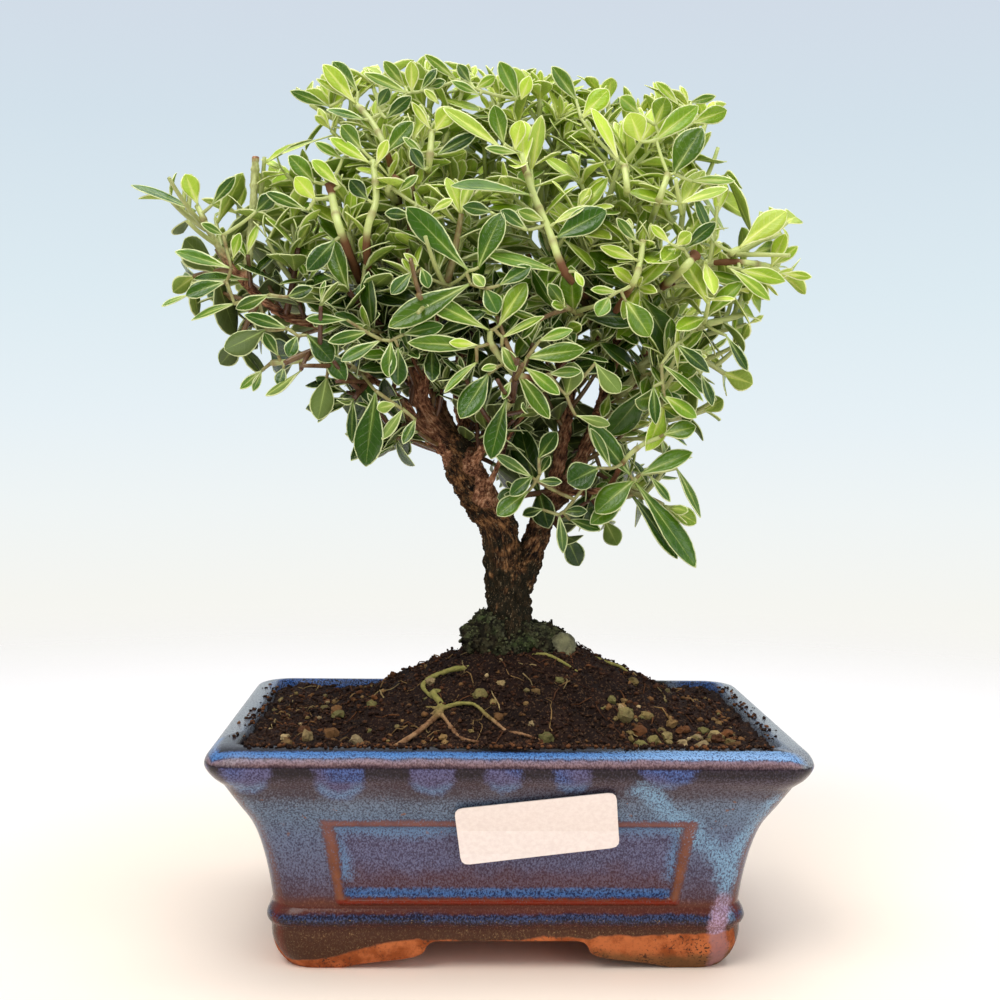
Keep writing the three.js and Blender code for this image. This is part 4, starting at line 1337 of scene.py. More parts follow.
def makeBark():
    material, shader, place = startMaterial("flakyBark")
    grain = addNode("Attribute", tree=material.node_tree, attribute_name="grainPlace").outputs["Vector"]
    girth, rootness, greenness = (trait(material, name) for name in ("girth", "rootness", "greenness"))
    streak = plus(times(grainOf(grain, 1.5, 5, 0.65), 0.6), times(grainOf(place, 430, 4), 0.4))
    branch = shades(streak, (
        (0.38, 42, 25, 18), (0.45, 90, 56, 40), (0.51, 134, 90, 64), (0.57, 176, 126, 94),
        (0.64, 206, 172, 138),
    ))
    trunk = shades(streak, (
        (0.38, 10, 7, 5), (0.45, 36, 24, 15), (0.51, 70, 47, 28), (0.57, 116, 79, 48), (0.64, 170, 128, 86),
    ))
    # dark moss low on the trunk, the same dark round the crotch, and painted shade down the left and right
    # flanks of the thick trunk
    thick = band(girth, 2.4, 4)
    # painted shade: darker down the trunk's left and right flanks, which turn away from the light
    flankShade = times(band(calc("ABSOLUTE", partsOf(grain)["X"]), 3.2, 5.2), band(girth, 3.4, 4.4))
    mossAndShadeSpread = plus(times(rootness, 0.4), times(flankShade, 0.16))
    mossAndShade = times(band(plus(grainOf(place, 210, 3), mossAndShadeSpread), 0.56, 0.7), thick)
    colour = coated(
        blend(band(girth, 2.2, 4.2), branch, trunk),
        (times(spotted(grain, 0.9, 0.6, 0.05), thick), 0.5, (158, 112, 70)),
        (mossAndShade, 0.88, (32, 30, 19)),
        (spotted(grain, 3.2, 0.64, 0.04), 0.55, (176, 150, 116)),
    )
    greenBark = mottled(grain, 1.2, paint(160, 160, 98), paint(206, 210, 146), 0.2)["Color"]
    rootBark = mottled(place, 520.0, paint(104, 70, 46), paint(160, 122, 86), 0.14)["Color"]
    rootBark = blend(band(partsOf(place)["Z"], 0.064, 0.069, 0, 0.75), rootBark, paint(138, 138, 70))
    colour = blend(band(rootness, 1.4, 1.6), blend(greenness, colour, greenBark), rootBark)
    height = plus(streak, times(grainOf(place, 1500, 4), 0.35))
    wire(shader, colour=colour, roughness=0.82, normal=bump(height, 0.75, 0.0009), specular=0.12)
    return material


# rootness is 0 on the branches, up to 1 low on the trunk, and 2 on the roots that lie on the soil.
def makeWood():
    grown = [*limbs.items()]
    grown += [("stub", points) for points in stubs]
    grown += [("root", points) for points in laidRoots()]
    lines = [(name, curvePoints(points, wood["step"])) for name, points in grown]
    whole = bmesh.new()
    samples = []
    for name, line in lines:
        tube = bmesh.new()
        points, radii = zip(*line)
        roundTube(tube, points, radii, wood["sides"] if radii[0] > 2 else wood["twigSides"])
        bmesh.ops.recalc_face_normals(tube, faces=tube.faces)
        joinInto(whole, tube)
        run = 0.0
        for number, (point, radius) in enumerate(line):
            samples.append((name, point, radius, wayAt(points, number), run, number / (len(line) - 1)))
            run += wood["step"]
    bm = withModifiers(whole, ("REMESH", {"mode": "VOXEL", "voxel_size": wood["voxel"]}),
                       ("SMOOTH", {"factor": 0.5, "iterations": 2}))
    bm.normal_update()
    finder = finderOf([sample[1] for sample in samples])
    layers = floatLayers(bm, ("girth", "rootness", "greenness"))
    grainLayer = bm.verts.layers.float_vector.new("grainPlace")
    moved = []
    for vert in bm.verts:
        best = min(finder.find_n(vert.co, 4), key=lambda hit: hit[2] / samples[hit[1]][2])[1]
        name, middle, radius, way, run, share = samples[best]
        offset = vert.co - middle
        run += offset.dot(way)
        aside = offset - way * offset.dot(way)
        grainPlace = Vector((aside.x, aside.y, aside.z + run * wood["grainStretch"]))
        fissure = abs(noise.noise(grainPlace * 1.3))
        lump = noise.noise(vert.co * 0.3)
        flake = noise.noise(Vector((aside.x * 2.4, aside.y * 2.4, aside.z * 2.4 + run * 0.5)))
        nearest = noise.voronoi(Vector((aside.x, aside.y, aside.z + run * 0.34)) * wood["plateScale"])[0]
        plate = min(1, (nearest[1] - nearest[0]) * 3.5)
        knot = math.exp(-((run + 7 * (best % 3)) % wood["knotEvery"] - wood["knotEvery"] / 2) ** 2 / 1.2)
        size = min(radius, 4.5)
        shift = size * (wood["lumps"] * lump - wood["fissures"] * (fissure - 0.2) + wood["flakes"] * flake)
        shift += size * wood["plates"] * (plate - 0.6)
        if 0.8 < radius < 2.6 and name != "root":
            shift += wood["knots"] * radius * knot
        moved.append(vert.co + vert.normal * shift)
        vert[layers["girth"]] = radius
        isRoot = name == "root"
        crotch = smoothStep(7, 3, (vert.co - Vector(wood["crotch"])).length)
        vert[layers["rootness"]] = 2.0 if isRoot else max(crotch, smoothStep(116, 86, vert.co.z))
        green = 0.0 if isRoot or name in ("trunk", "leftStem", "rightStem") else smoothStep(0.8, 0.95, share)
        if name in wood["pale"]:
            green = smoothStep(wood["pale"][name], wood["pale"][name] + 0.15, share)
        if name == "stub":
            green = smoothStep(0.08, 0.2, share) - smoothStep(0.95, 0.99, share)
        vert[layers["greenness"]] = green
        vert[grainLayer] = grainPlace
    for vert, place in zip(bm.verts, moved):
        vert.co = place
    finishPiece("bark_and_branches", bm, makeBark(), ["tree_wood"])


makeWood()
print("wood ready")


# Leafy shoots: a green stem with opposite pairs of leaves, each turned a quarter against the last.
leaf = {
    "first": 0.4, "last": 0.98, "longStem": 19, "lowLength": 23, "highLength": 17, "trueLength": 0.82,
    "keptIn": 0.52,
    "slimmest": 0.165, "fullest": 0.215, "lowLean": 72, "highLean": 40, "skyward": 0.3, "sunk": 0.7,
    "thickness": 0.3, "broadest": 0.63, "petiole": 0.1, "found": 0.08, "sideEvery": 9, "youngFrom": 195,
    "seed": 47,
}
# Rows along a leaf and columns across it: fine ones for what shows best, plain ones for the many in between.
fineLeaf = {
    "name": "fineLeaf", "columns": 4, "rows": (0, 0.08, 0.2, 0.32, 0.44, 0.56, 0.68, 0.79, 0.88, 0.95, 1),
}
plainLeaf = {"name": "plainLeaf", "columns": 2, "rows": (0, 0.16, 0.36, 0.58, 0.78, 0.92, 1)}
bends = (
    (0, 0, 1), (16, 8, 1), (-16, 8, 1), (0, -16, 1), (32, -6, 0.92), (-32, -6, 0.92), (12, 24, 0.85),
    (-12, -24, 0.8),
)
stem = {
    "low": 1.1, "high": 0.75, "sides": 7, "steps": 8, "out": 0.6, "rise": 0.42, "jointEvery": 9.5,
    "frontThick": 0.86,
}


# Where each shoot leaves its limb, as a share of the limb's length, and where it ends.
shootPlaces = (
    (
        "farLeft", (1, -93, -14, 203), (0.84, -69, -5, 205), (0.78, -88, -5, 183),
        (0.62, -76, 0, 165), (0.5, -58, -17, 190),
    ),
    ("lowLeft", (1, -60, -31, 158), (0.8, -42, -27, 149), (0.4, -31, -16, 138)),
    ("leftRise", (1, -56, -4, 208), (0.6, -44, -22, 194)),
    ("paleBark", (1, -50, -6, 231), (0.86, -36, -17, 234), (0.7, -27, -25, 217), (0.5, -44, -24, 178)),
    ("middleLeft", (1, -23, 6, 239), (0.9, -38, 16, 226)),
    ("darkBack", (1, -3, 14, 237), (0.88, -16, 36, 226)),
    ("middleRight", (1, 8, 2, 236), (0.92, 16, 24, 234)),
    ("rightLeader", (1, 28, 8, 237), (0.95, 42, 10, 233)),
    ("highLeader", (1, 55, -1, 229), (0.8, 60, -6, 213)),
    ("innerFork", (1, 30, -14, 218), (0.35, 2, -30, 211), (0.3, 14, -29, 174)),
    ("highRight", (1, 75, -18, 199), (0.85, 77, -9, 185), (0.66, 46, -22, 203), (0.45, 34, -22, 180)),
    ("paleRight", (1, 64, -16, 174), (0.8, 61, -5, 158), (0.5, 42, -18, 148)),
    ("lowFront", (1, 43, -14, 121), (0.5, 29, 3, 115)),
    ("rightStem", (0.7, 17, -6, 111), (0.95, 4, -9, 123)),
    ("crossTwig", (1, 15, -19, 161)),
    ("frontFork", (1, 1, -35, 160)),
    ("frontRise", (1, -14, -30, 198), (0.75, -25, -36, 176)),
    ("backLeft", (1, -58, 46, 201), (0.7, -46, 50, 180), (0.5, -24, 44, 192)),
    ("sideLeft", (1, -76, 18, 184)),
    ("backRight", (1, 60, 42, 195), (0.6, 54, 42, 170)),
    ("backMiddle", (1, 2, 52, 216), (0.7, 22, 52, 200)),
    ("lowBackRight", (1, 60, 20, 148)),
    ("backRight", (0.85, 44, 36, 212)),
)
shoots = [(limbName, share, tip) for limbName, *places in shootPlaces for share, *tip in places]


def stemCurve(start, tip):
    knee = start.lerp(tip, stem["out"])
    knee.z = mix(start.z, tip.z, stem["rise"])
    return start, knee, tip


def stemPoints(curve):
    return [onStem(curve, number / stem["steps"]) for number in range(stem["steps"] + 1)]


def onStem(curve, share):
    start, knee, tip = curve
    return start * (1 - share) ** 2 + knee * 2 * share * (1 - share) + tip * share ** 2


def stemWayAt(curve, share):
    start, knee, tip = curve
    return ((knee - start) * (1 - share) + (tip - knee) * share).normalized()


def pairsOn(curve):
    return 3 if (curve[2] - curve[0]).length > leaf["longStem"] else 2


# Straight out from a stem, at an angle round it that is counted from the level direction.
def outwardFrom(way, level, angle):
    return level * math.cos(angle) + level.cross(way) * math.sin(angle)


def aroundStem(way, angle):
    level = way.cross(up).normalized() if abs(way.z) < 0.99 else Vector((1, 0, 0))
    return outwardFrom(way, level, angle)


# Which way a leaf points and faces, tilted off its stem and turned up a little towards the sky.
def leafWays(way, outward, tilt, skyward):
    along = way * math.cos(tilt) + outward * math.sin(tilt)
    face = way * math.sin(tilt) - outward * math.cos(tilt)
    return along, (face + up * skyward - along * (skyward * along.z)).normalized()


# Where one leaf grows, which way it points and faces, and how large it is.
def leafPlan(curve, shoot, index, bend):
    turn, lean, shrink = bend
    share = (index // 2) / (pairsOn(curve) - 1)
    place = mix(leaf["first"], leaf["last"], share)
    stemWay = stemWayAt(curve, place)
    quarter = 360 * chance(shoot, 0, 1) + 90 * (index // 2) + 180 * (index % 2)
    around = math.radians(quarter + 40 * (chance(shoot, index, 2) - 0.5) + turn)
    outward = outwardFrom(stemWay, stemWay.cross(up).normalized(), around)
    usualLean = mix(leaf["lowLean"], leaf["highLean"], share)
    tilt = math.radians(usualLean + 20 * (chance(shoot, index, 3) - 0.5) + lean)
    along, face = leafWays(stemWay, outward, tilt, leaf["skyward"])
    length = mix(leaf["lowLength"], leaf["highLength"], share) * shrink
    length *= mix(0.84, 1.14, chance(shoot, index, 4))
    return {
        "root": onStem(curve, place) - along * leaf["sunk"], "along": along, "face": face, "length": length,
        "half": length * mix(leaf["slimmest"], leaf["fullest"], chance(shoot, index, 5)),
        "arch": mix(0.02, 0.2, chance(shoot, index, 6)), "rank": share,
    }


def leafTip(plan):
    return plan["root"] + plan["along"] * plan["length"] - plan["face"] * plan["arch"] * plan["length"]


# Half the width of a leaf along its length, as a share of the widest: a narrow foot, a soft point.
def fullness(share):
    if share < leaf["broadest"]:
        return mix(leaf["petiole"], 1, smoothStep(0.02, leaf["broadest"], share) ** 0.86)
    beyond = (share - leaf["broadest"]) / (1 - leaf["broadest"])
    return (1 - beyond ** 2.1) ** 0.76


def makeLeafTemplate(kind):
    bm = bmesh.new()
    last = len(kind["rows"]) - 1
    bmesh.ops.create_grid(bm, x_segments=kind["columns"], y_segments=last, size=1)
    for vert in bm.verts:
        vert.co.y = kind["rows"][round((vert.co.y + 1) / 2 * last)]
    bmesh.ops.solidify(bm, geom=list(bm.faces), thickness=leaf["thickness"])
    bmesh.ops.recalc_face_normals(bm, faces=bm.faces)
    layers = floatLayers(bm, ("across", "along", "under"))
    for vert in bm.verts:
        vert[layers["across"]] = vert.co.x
        vert[layers["along"]] = vert.co.y
        vert[layers["under"]] = 1.0 if abs(vert.co.z) > leaf["thickness"] / 2 else 0.0
        vert.co.z = -abs(vert.co.z)
    return smallTemplate(kind["name"], bm, ("width", "youth", "tone"))


fineTemplate = makeLeafTemplate(fineLeaf)
plainTemplate = makeLeafTemplate(plainLeaf)


# Shapes one leaf from the template: folded along its midrib, arched, and a little wavy.
def addLeaf(bm, plan, youth, rng, template=fineTemplate):
    along, face = plan["along"], plan["face"]
    across = face.cross(along)
    fold = rng.uniform(0.12, 0.5)
    shape = rng.uniform(0.8, 1.12)
    curl = rng.uniform(-0.1, 0.12)
    twist = rng.uniform(-0.35, 0.35)
    wave = rng.uniform(0.02, 0.1)
    phase = rng.uniform(0, 6.28)
    tone = rng.random()
    verts = addCopy(bm, template)
    widthLayer, youthLayer, toneLayer = (bm.verts.layers.float[name] for name in ("width", "youth", "tone"))
    for vert in verts:
        x, share, depth = vert.co
        half = max(0.12, fullness(share ** shape) * plan["half"])
        angle = twist * (share - 0.3)
        rise = half * (fold * abs(x) ** 1.4 * (1 - 0.5 * share) + curl * x * x)
        rise += half * wave * math.sin(phase + 7 * share + (2 if x > 0 else 0)) * abs(x)
        sideways = x * half * (1 - 0.25 * fold * fold)
        aside = sideways * math.cos(angle) - rise * math.sin(angle)
        lift = sideways * math.sin(angle) + rise * math.cos(angle)
        drop = plan["arch"] * plan["length"] * share * share
        thin = depth * (1 - 0.35 * share)
        onRib = plan["root"] + along * (share * plan["length"])
        vert.co = onRib + across * aside + face * (lift - drop + thin)
        vert[widthLayer] = half
        vert[youthLayer] = youth
        vert[toneLayer] = tone


# A green stem. "under" is 1 where it is brown: at a cut end, down where it is woody, and round its joints.
def addStem(bm, points, low, high, youth, cut=False, woody=0):
    twig = bmesh.new()
    radii, brown = [], []
    run = 0.0
    for number, point in enumerate(points):
        share = number / (len(points) - 1)
        run += (point - points[max(0, number - 1)]).length
        joint = math.exp(-((run % stem["jointEvery"] - 4) / 0.9) ** 2) if woody else 0.0
        radii.append(mix(low, high, share) * (1.25 if cut and share > 0.9 else 1) * (1 + 0.24 * joint))
        brown.append(max(0.6 * joint, smoothStep(woody + 0.03, woody - 0.03, share) if woody else 0))
    finder = finderOf(points)
    roundTube(twig, points, radii, stem["sides"])
    layers = floatLayers(twig, ("across", "along", "under", "width", "youth", "tone"))
    for vert in twig.verts:
        vert[layers["youth"]] = youth
        vert[layers["tone"]] = 0.5
        vert[layers["along"]] = -1.0
        ended = cut and (vert.co - points[-1]).length < 3.4
        vert[layers["under"]] = 1.0 if ended else brown[finder.find(vert.co)[1]]
    bmesh.ops.recalc_face_normals(twig, faces=twig.faces)
    joinInto(bm, twig)


# The crown as it shows in the frame, in pixels: its outline, and round windows (across, down, radius) where
# the wood shows because no leaf grows in front of it.
crown = {
    "outline": (
        (128, 180), (160, 172), (195, 166), (238, 172), (246, 150), (290, 152), (312, 138), (286, 96),
        (296, 84), (318, 66), (340, 56), (385, 60), (425, 50), (480, 66), (505, 56), (530, 68), (560, 60),
        (590, 78), (625, 86), (665, 80), (728, 100), (716, 128), (737, 180), (712, 196), (728, 222),
        (765, 202), (790, 210), (790, 238), (812, 272), (785, 286), (776, 322), (752, 310), (752, 368),
        (732, 372), (718, 404), (700, 400), (698, 440), (690, 470), (708, 515), (702, 566), (668, 545),
        (640, 515), (600, 530), (562, 553), (540, 500), (515, 518), (490, 505), (482, 440), (460, 425),
        (415, 446), (388, 446), (372, 468), (345, 462), (338, 408), (318, 424), (298, 400), (250, 394),
        (236, 372), (225, 352), (216, 320), (192, 318), (160, 304), (185, 270), (168, 250), (215, 244),
    ),
    "windows": (
        (482, 515, 25), (471, 492, 25), (457, 468, 24), (444, 442, 21), (427, 412, 18), (416, 384, 15),
        (402, 415, 13), (385, 385, 12), (530, 560, 25), (548, 525, 20), (558, 495, 16), (568, 462, 13),
        (576, 440, 11), (588, 400, 13), (593, 368, 12), (585, 335, 11), (583, 303, 10), (346, 243, 11),
        (352, 268, 13), (550, 420, 9), (617, 372, 9),
    ),
    "behind": 6,
}


def inOutline(point):
    x, y = toFrame(point)
    crossings = 0
    corners = crown["outline"]
    for (firstX, firstY), (secondX, secondY) in zip(corners, corners[1:] + corners[:1]):
        if (firstY > y) != (secondY > y):
            crossings += x < mix(firstX, secondX, (y - firstY) / (secondY - firstY))
    return crossings % 2 == 1


def hidesWood(root, tip):
    if min(root.y, tip.y) > crown["behind"]:
        return False
    for share in (0.3, 0.65, 1):
        across, down = toFrame(root.lerp(tip, share))
        if any(math.hypot(across - x, down - y) < radius for x, y, radius in crown["windows"]):
            return True
    return False


# Leaves that stand out at the front: root across and down, tip across and down, and width, in pixels of the
# frame, then youth. True shows the underside.
frontLeaves = (
    # the middle
    (470, 272, 406, 207, 27, 0.3), (478, 269, 500, 211, 26, 0.35), (472, 273, 484, 286, 13, 0.6),
    (472, 283, 388, 326, 28, 0.4), (498, 327, 525, 282, 22, 0.62), (489, 330, 426, 297, 22, 0.5),
    (478, 347, 408, 341, 18, 0.5), (478, 345, 450, 342, 11, 0.85), (501, 338, 544, 316, 9, 0.6),
    (525, 358, 585, 349, 21, 0.5), (538, 341, 572, 329, 13, 0.5), (501, 345, 516, 371, 15, 0.45),
    (500, 366, 482, 369, 9, 0.55), (478, 361, 443, 391, 8, 0.5), (489, 373, 460, 418, 27, 0.3),
    (516, 371, 550, 418, 18, 0.4), (525, 367, 560, 394, 16, 0.45), (547, 374, 581, 371, 13, 0.4),
    (566, 397, 575, 362, 26, 0.3, True), (594, 362, 619, 394, 22, 0.35, True), (561, 272, 488, 250, 13, 0.5),
    (545, 221, 518, 211, 14, 0.55), (553, 224, 584, 204, 8, 0.75), (556, 238, 606, 209, 30, 0.22),
    (529, 231, 501, 210, 15, 0.3), (531, 195, 452, 180, 11, 0.4), (492, 212, 463, 206, 15, 0.3),
    (429, 213, 452, 199, 11, 0.85), (412, 215, 385, 213, 13, 0.2), (414, 270, 391, 294, 16, 0.3),
    (421, 267, 429, 287, 14, 0.3), (419, 266, 405, 253, 8, 0.7), (484, 287, 498, 313, 22, 0.3),
    (498, 286, 531, 266, 17, 0.25), (401, 335, 443, 325, 17, 0.25), (391, 339, 388, 377, 18, 0.35),
    (398, 345, 398, 385, 20, 0.1), (619, 292, 592, 289, 10, 0.6), (610, 296, 598, 315, 18, 0.5),
    (574, 270, 583, 286, 9, 0.7),
    # the top right
    (739, 248, 786, 209, 27, 1), (771, 267, 784, 233, 17, 0.9), (773, 266, 798, 246, 12, 0.7),
    (779, 273, 812, 277, 10, 0.75), (739, 270, 786, 280, 18, 0.7), (727, 266, 771, 299, 11, 0.65),
    (673, 175, 702, 127, 33, 0.42), (655, 141, 698, 104, 23, 0.6), (690, 124, 727, 110, 19, 0.6),
    (689, 103, 716, 96, 10, 0.4), (641, 143, 630, 113, 27, 0.95), (655, 127, 666, 97, 22, 0.65),
    (680, 106, 657, 81, 11, 0.7), (620, 163, 593, 107, 14, 0.95), (580, 120, 608, 89, 23, 0.75),
    (640, 114, 620, 97, 17, 0.6), (690, 181, 735, 178, 10, 0.6), (678, 204, 728, 187, 11, 0.8),
    (683, 250, 716, 222, 16, 0.2), (715, 244, 695, 198, 12, 0.3), (637, 242, 617, 218, 12, 0.45),
    (637, 260, 601, 246, 13, 0.8), (672, 245, 651, 225, 10, 0.8), (675, 247, 691, 233, 16, 0.9),
    (625, 300, 651, 335, 27, 0.55),
    # the lower right
    (675, 343, 710, 372, 16, 0.2), (660, 363, 706, 398, 9, 0.4), (725, 334, 749, 370, 12, 0.2),
    (700, 372, 714, 405, 13, 0.25), (663, 395, 697, 417, 17, 0.55), (662, 435, 696, 426, 21, 0.5),
    (639, 475, 692, 451, 21, 0.4), (676, 467, 704, 516, 9, 0.45), (635, 482, 699, 566, 21, 0.35),
    (632, 495, 679, 558, 14, 0.25), (634, 480, 595, 511, 29, 0.4), (626, 498, 590, 524, 20, 0.35),
    (631, 476, 590, 423, 23, 0.3), (612, 470, 590, 428, 11, 0.35), (600, 467, 568, 483, 32, 0.12),
    (653, 385, 656, 424, 13, 0.12), (649, 475, 671, 501, 10, 0.35), (562, 512, 587, 511, 12, 0.1),
    (568, 519, 601, 530, 12, 0.15), (559, 513, 564, 553, 12, 0.3), (574, 415, 610, 425, 12, 0.35, True),
    # the lower left
    (376, 389, 364, 466, 31, 0.1), (404, 408, 382, 440, 12, 0.35, True), (416, 418, 403, 444, 12, 0.35),
    (397, 404, 376, 409, 13, 0.5, True), (383, 339, 341, 361, 15, 0.35), (507, 397, 489, 458, 26, 0.15),
    (533, 478, 495, 454, 12, 0.35), (533, 476, 510, 495, 17, 0.2), (530, 490, 497, 514, 21, 0.4),
    (539, 476, 549, 456, 11, 0.15), (537, 481, 562, 482, 10, 0.25), (538, 459, 557, 432, 20, 0.15),
    (544, 509, 523, 514, 13, 0.1), (511, 380, 503, 399, 10, 0.4),
    # the left
    (196, 211, 133, 180, 8, 0.35), (198, 205, 185, 174, 20, 0.85), (211, 206, 235, 176, 13, 0.3),
    (225, 236, 201, 223, 10, 0.4), (255, 213, 273, 195, 18, 0.2), (233, 269, 175, 250, 14, 0.4),
    (233, 259, 240, 233, 13, 0.6), (228, 281, 185, 294, 19, 0.35), (190, 294, 161, 304, 6, 0.5),
    (236, 303, 190, 317, 8, 0.5), (271, 294, 236, 308, 14, 0.35), (268, 329, 225, 352, 30, 0.2, True),
    (289, 329, 244, 314, 14, 0.25), (279, 357, 264, 333, 13, 0.3), (298, 334, 288, 356, 16, 0.25),
    (306, 334, 333, 360, 26, 0.12), (325, 352, 346, 380, 20, 0.12), (327, 377, 318, 420, 26, 0.25, True),
    (263, 369, 240, 389, 10, 0.45), (262, 370, 253, 391, 9, 0.35), (284, 367, 278, 385, 13, 0.25),
    (302, 370, 267, 398, 9, 0.5, True), (336, 239, 307, 271, 21, 0.12), (287, 297, 312, 288, 14, 0.15),
    (349, 320, 306, 318, 11, 0.25), (370, 331, 328, 342, 14, 0.3), (315, 183, 289, 155, 20, 0.5),
    (316, 200, 295, 177, 19, 0.9), (309, 211, 266, 192, 13, 0.35), (341, 187, 312, 160, 17, 0.75),
    (344, 160, 315, 142, 11, 0.45), (369, 201, 350, 180, 17, 0.1),
    # the top left
    (356, 104, 323, 64, 19, 0.85), (359, 93, 334, 60, 18, 0.4), (347, 98, 316, 79, 7, 0.8),
    (331, 107, 290, 91, 12, 0.4), (366, 120, 327, 108, 9, 0.35), (409, 94, 364, 72, 11, 0.55),
    (412, 94, 411, 61, 16, 0.95), (406, 88, 384, 61, 14, 0.55), (419, 93, 436, 68, 11, 0.2),
    (458, 81, 425, 54, 11, 0.6), (472, 85, 458, 64, 13, 0.4), (474, 90, 495, 76, 12, 0.6),
    (518, 100, 500, 61, 19, 0.45), (521, 100, 530, 76, 15, 0.9), (504, 145, 494, 105, 20, 0.45),
    (515, 151, 520, 120, 20, 0.95), (503, 149, 443, 108, 15, 0.9), (519, 153, 485, 148, 9, 0.5),
    (435, 131, 452, 107, 22, 0.9), (431, 130, 412, 102, 9, 0.85), (435, 156, 476, 133, 15, 0.12),
    (423, 154, 403, 137, 9, 0.45), (425, 171, 411, 148, 15, 0.1), (383, 157, 412, 121, 21, 0.4),
    (363, 151, 341, 125, 19, 0.5), (370, 163, 330, 137, 15, 0.7), (376, 166, 387, 140, 12, 0.95),
    (396, 194, 417, 175, 11, 0.5), (377, 108, 389, 88, 14, 0.25), (385, 119, 411, 96, 15, 0.3),
    (439, 104, 425, 89, 9, 0.9), (428, 88, 445, 81, 11, 0.35), (481, 95, 451, 81, 10, 0.45),
    (577, 101, 552, 66, 18, 0.45),
)

# Stems that stand out: the limb they leave and how far along it, their bends in the frame, thickness at both
# ends in millimetres, and whether they end in a cut.
frontStems = (
    ("innerFork", 0.5, ((565, 272), (548, 228), (533, 193), (522, 154)), 1.3, 1.0, False),
    ("crossTwig", 1, ((530, 378), (512, 371), (492, 345), (490, 331)), 1.1, 1.0, False),
    ("highRight", 1, ((732, 252), (739, 249)), 1.1, 1.0, False),
    ("highRight", 0.9, ((742, 262), (772, 267), (779, 272)), 1.0, 0.8, False),
    ("lowLeft", 1, ((300, 360), (271, 363)), 1.1, 0.9, False),
    ("farLeft", 1, ((203, 218), (197, 206)), 1.0, 0.9, False),
    ("leftRise", 0.55, ((367, 235), (376, 200), (373, 160)), 1.3, 1.0, False),
    ("leftRise", 0.6, ((342, 235), (335, 211), (330, 184)), 1.4, 1.2, True),
    ("middleLeft", 1, ((429, 165), (432, 131)), 1.2, 1.0, False),
    ("paleBark", 0.98, ((388, 190), (397, 178)), 1.2, 1.2, True),
    ("paleBark", 1, ((386, 150), (372, 122), (356, 104)), 1.0, 0.9, False),
    ("highRight", 0.6, ((684, 268), (696, 254)), 1.4, 1.3, True),
    ("innerFork", 0.2, ((632, 285), (640, 262), (643, 240)), 1.1, 0.9, False),
    ("highLeader", 0.3, ((659, 200), (668, 174)), 1.1, 1.0, False),
    ("rightLeader", 1, ((627, 190), (624, 165)), 1.1, 1.0, False),
    ("lowFront", 1, ((630, 484), (636, 478)), 1.0, 0.9, False),
    ("lowFront", 0.8, ((625, 460), (642, 445), (660, 437)), 0.9, 0.7, False),
)
dome = {"across": 480, "down": 290, "halfAcross": 350, "halfDown": 262, "depth": 34, "near": 3, "cell": 24}


# How far forward the crown's front is at a pixel: a dome in front of the trunk.
def domeDepth(across, down):
    out = ((across - dome["across"]) / dome["halfAcross"]) ** 2
    out += ((down - dome["down"]) / dome["halfDown"]) ** 2
    return -dome["depth"] * math.sqrt(max(0.1, 1 - out))


def frontLeafPlan(row):
    rootAcross, rootDown, tipAcross, tipDown, width, youth = row[:6]
    depth = domeDepth(rootAcross, rootDown)
    root = fromFrame(rootAcross, rootDown, depth)
    tip = fromFrame(tipAcross, tipDown, depth - 2)
    pixel = (root - eye).dot(ahead) / stage["focal"]
    along = (tip - root).normalized()
    length = (tip - root).length
    seen = width * pixel
    broad = max(seen, length * 0.27)
    toEye = (eye - root).normalized()
    toEye = (toEye - along * toEye.dot(along)).normalized()
    skyward = toEye.cross(along)
    skyward = skyward if skyward.z > 0 else -skyward
    roll = max(math.acos(min(1, seen / broad)), 0.5 * chance(rootAcross, tipAcross, 2))
    face = toEye * math.cos(roll) + skyward * math.sin(roll)
    if len(row) > 6:
        face = -face
    arch = 0.14 * chance(rootAcross, tipAcross, 1) - 0.02
    return {"root": root, "along": along, "face": face, "length": length, "half": broad / 2, "arch": arch,
            "youth": youth}


# Front leaves by the cells of the frame that they show in.
def frontCells():
    cells = {}
    for row in frontLeaves:
        low = [min(row[axis], row[axis + 2]) - row[4] / 2 - dome["near"] for axis in (0, 1)]
        high = [max(row[axis], row[axis + 2]) + row[4] / 2 + dome["near"] for axis in (0, 1)]
        for column in range(int(low[0] // dome["cell"]), int(high[0] // dome["cell"]) + 1):
            for line in range(int(low[1] // dome["cell"]), int(high[1] // dome["cell"]) + 1):
                cells.setdefault((column, line), []).append(row)
    return cells


frontCell = frontCells()


def hidesFrontLeaf(root, tip):
    for share in (0.2, 0.5, 0.75, 1):
        spot = root.lerp(tip, share)
        across, down = toFrame(spot)
        for row in frontCell.get((int(across // dome["cell"]), int(down // dome["cell"])), ()):
            near = farFromLine((row[:2], row[2:4]), across, down) <= row[4] / 2 + dome["near"]
            if near and spot.y < domeDepth(*row[:2]) + 1:
                return True
    return False


# Young and lime at the top, at the tips and to the right; old and dark low down and to the left. Low at the
# right, younger and lighter leaves are painted light, where light comes through the crown.
def youthAt(point, rank, rng):
    aged = 0.8 * smoothStep(150, 210, point.z) + 0.22 * smoothStep(10, 60, point.x)
    aged -= 0.16 * smoothStep(-30, -70, point.x)
    # painted light: younger, lighter leaves low at the right of the crown
    aged += 0.28 * smoothStep(12, 40, point.x) * smoothStep(195, 155, point.z)
    return min(1, max(0, aged + 0.36 * rank - 0.16 + rng.uniform(-0.16, 0.16)))


# The many plain leaves in between. The crown is airier towards its ends and low at the right.
freeLeaves = {
    "sunk": 0.5, "slimness": (0.15, 0.215), "arch": (-0.04, 0.2), "skyward": 0.35,
    "endsFrom": 0.3, "endsTo": 0.8, "endsLeftOut": 0.62, "lowLeftOut": 0.5,
    "lowFrom": 330, "lowTo": 390, "rightFrom": 540, "rightTo": 590,
}


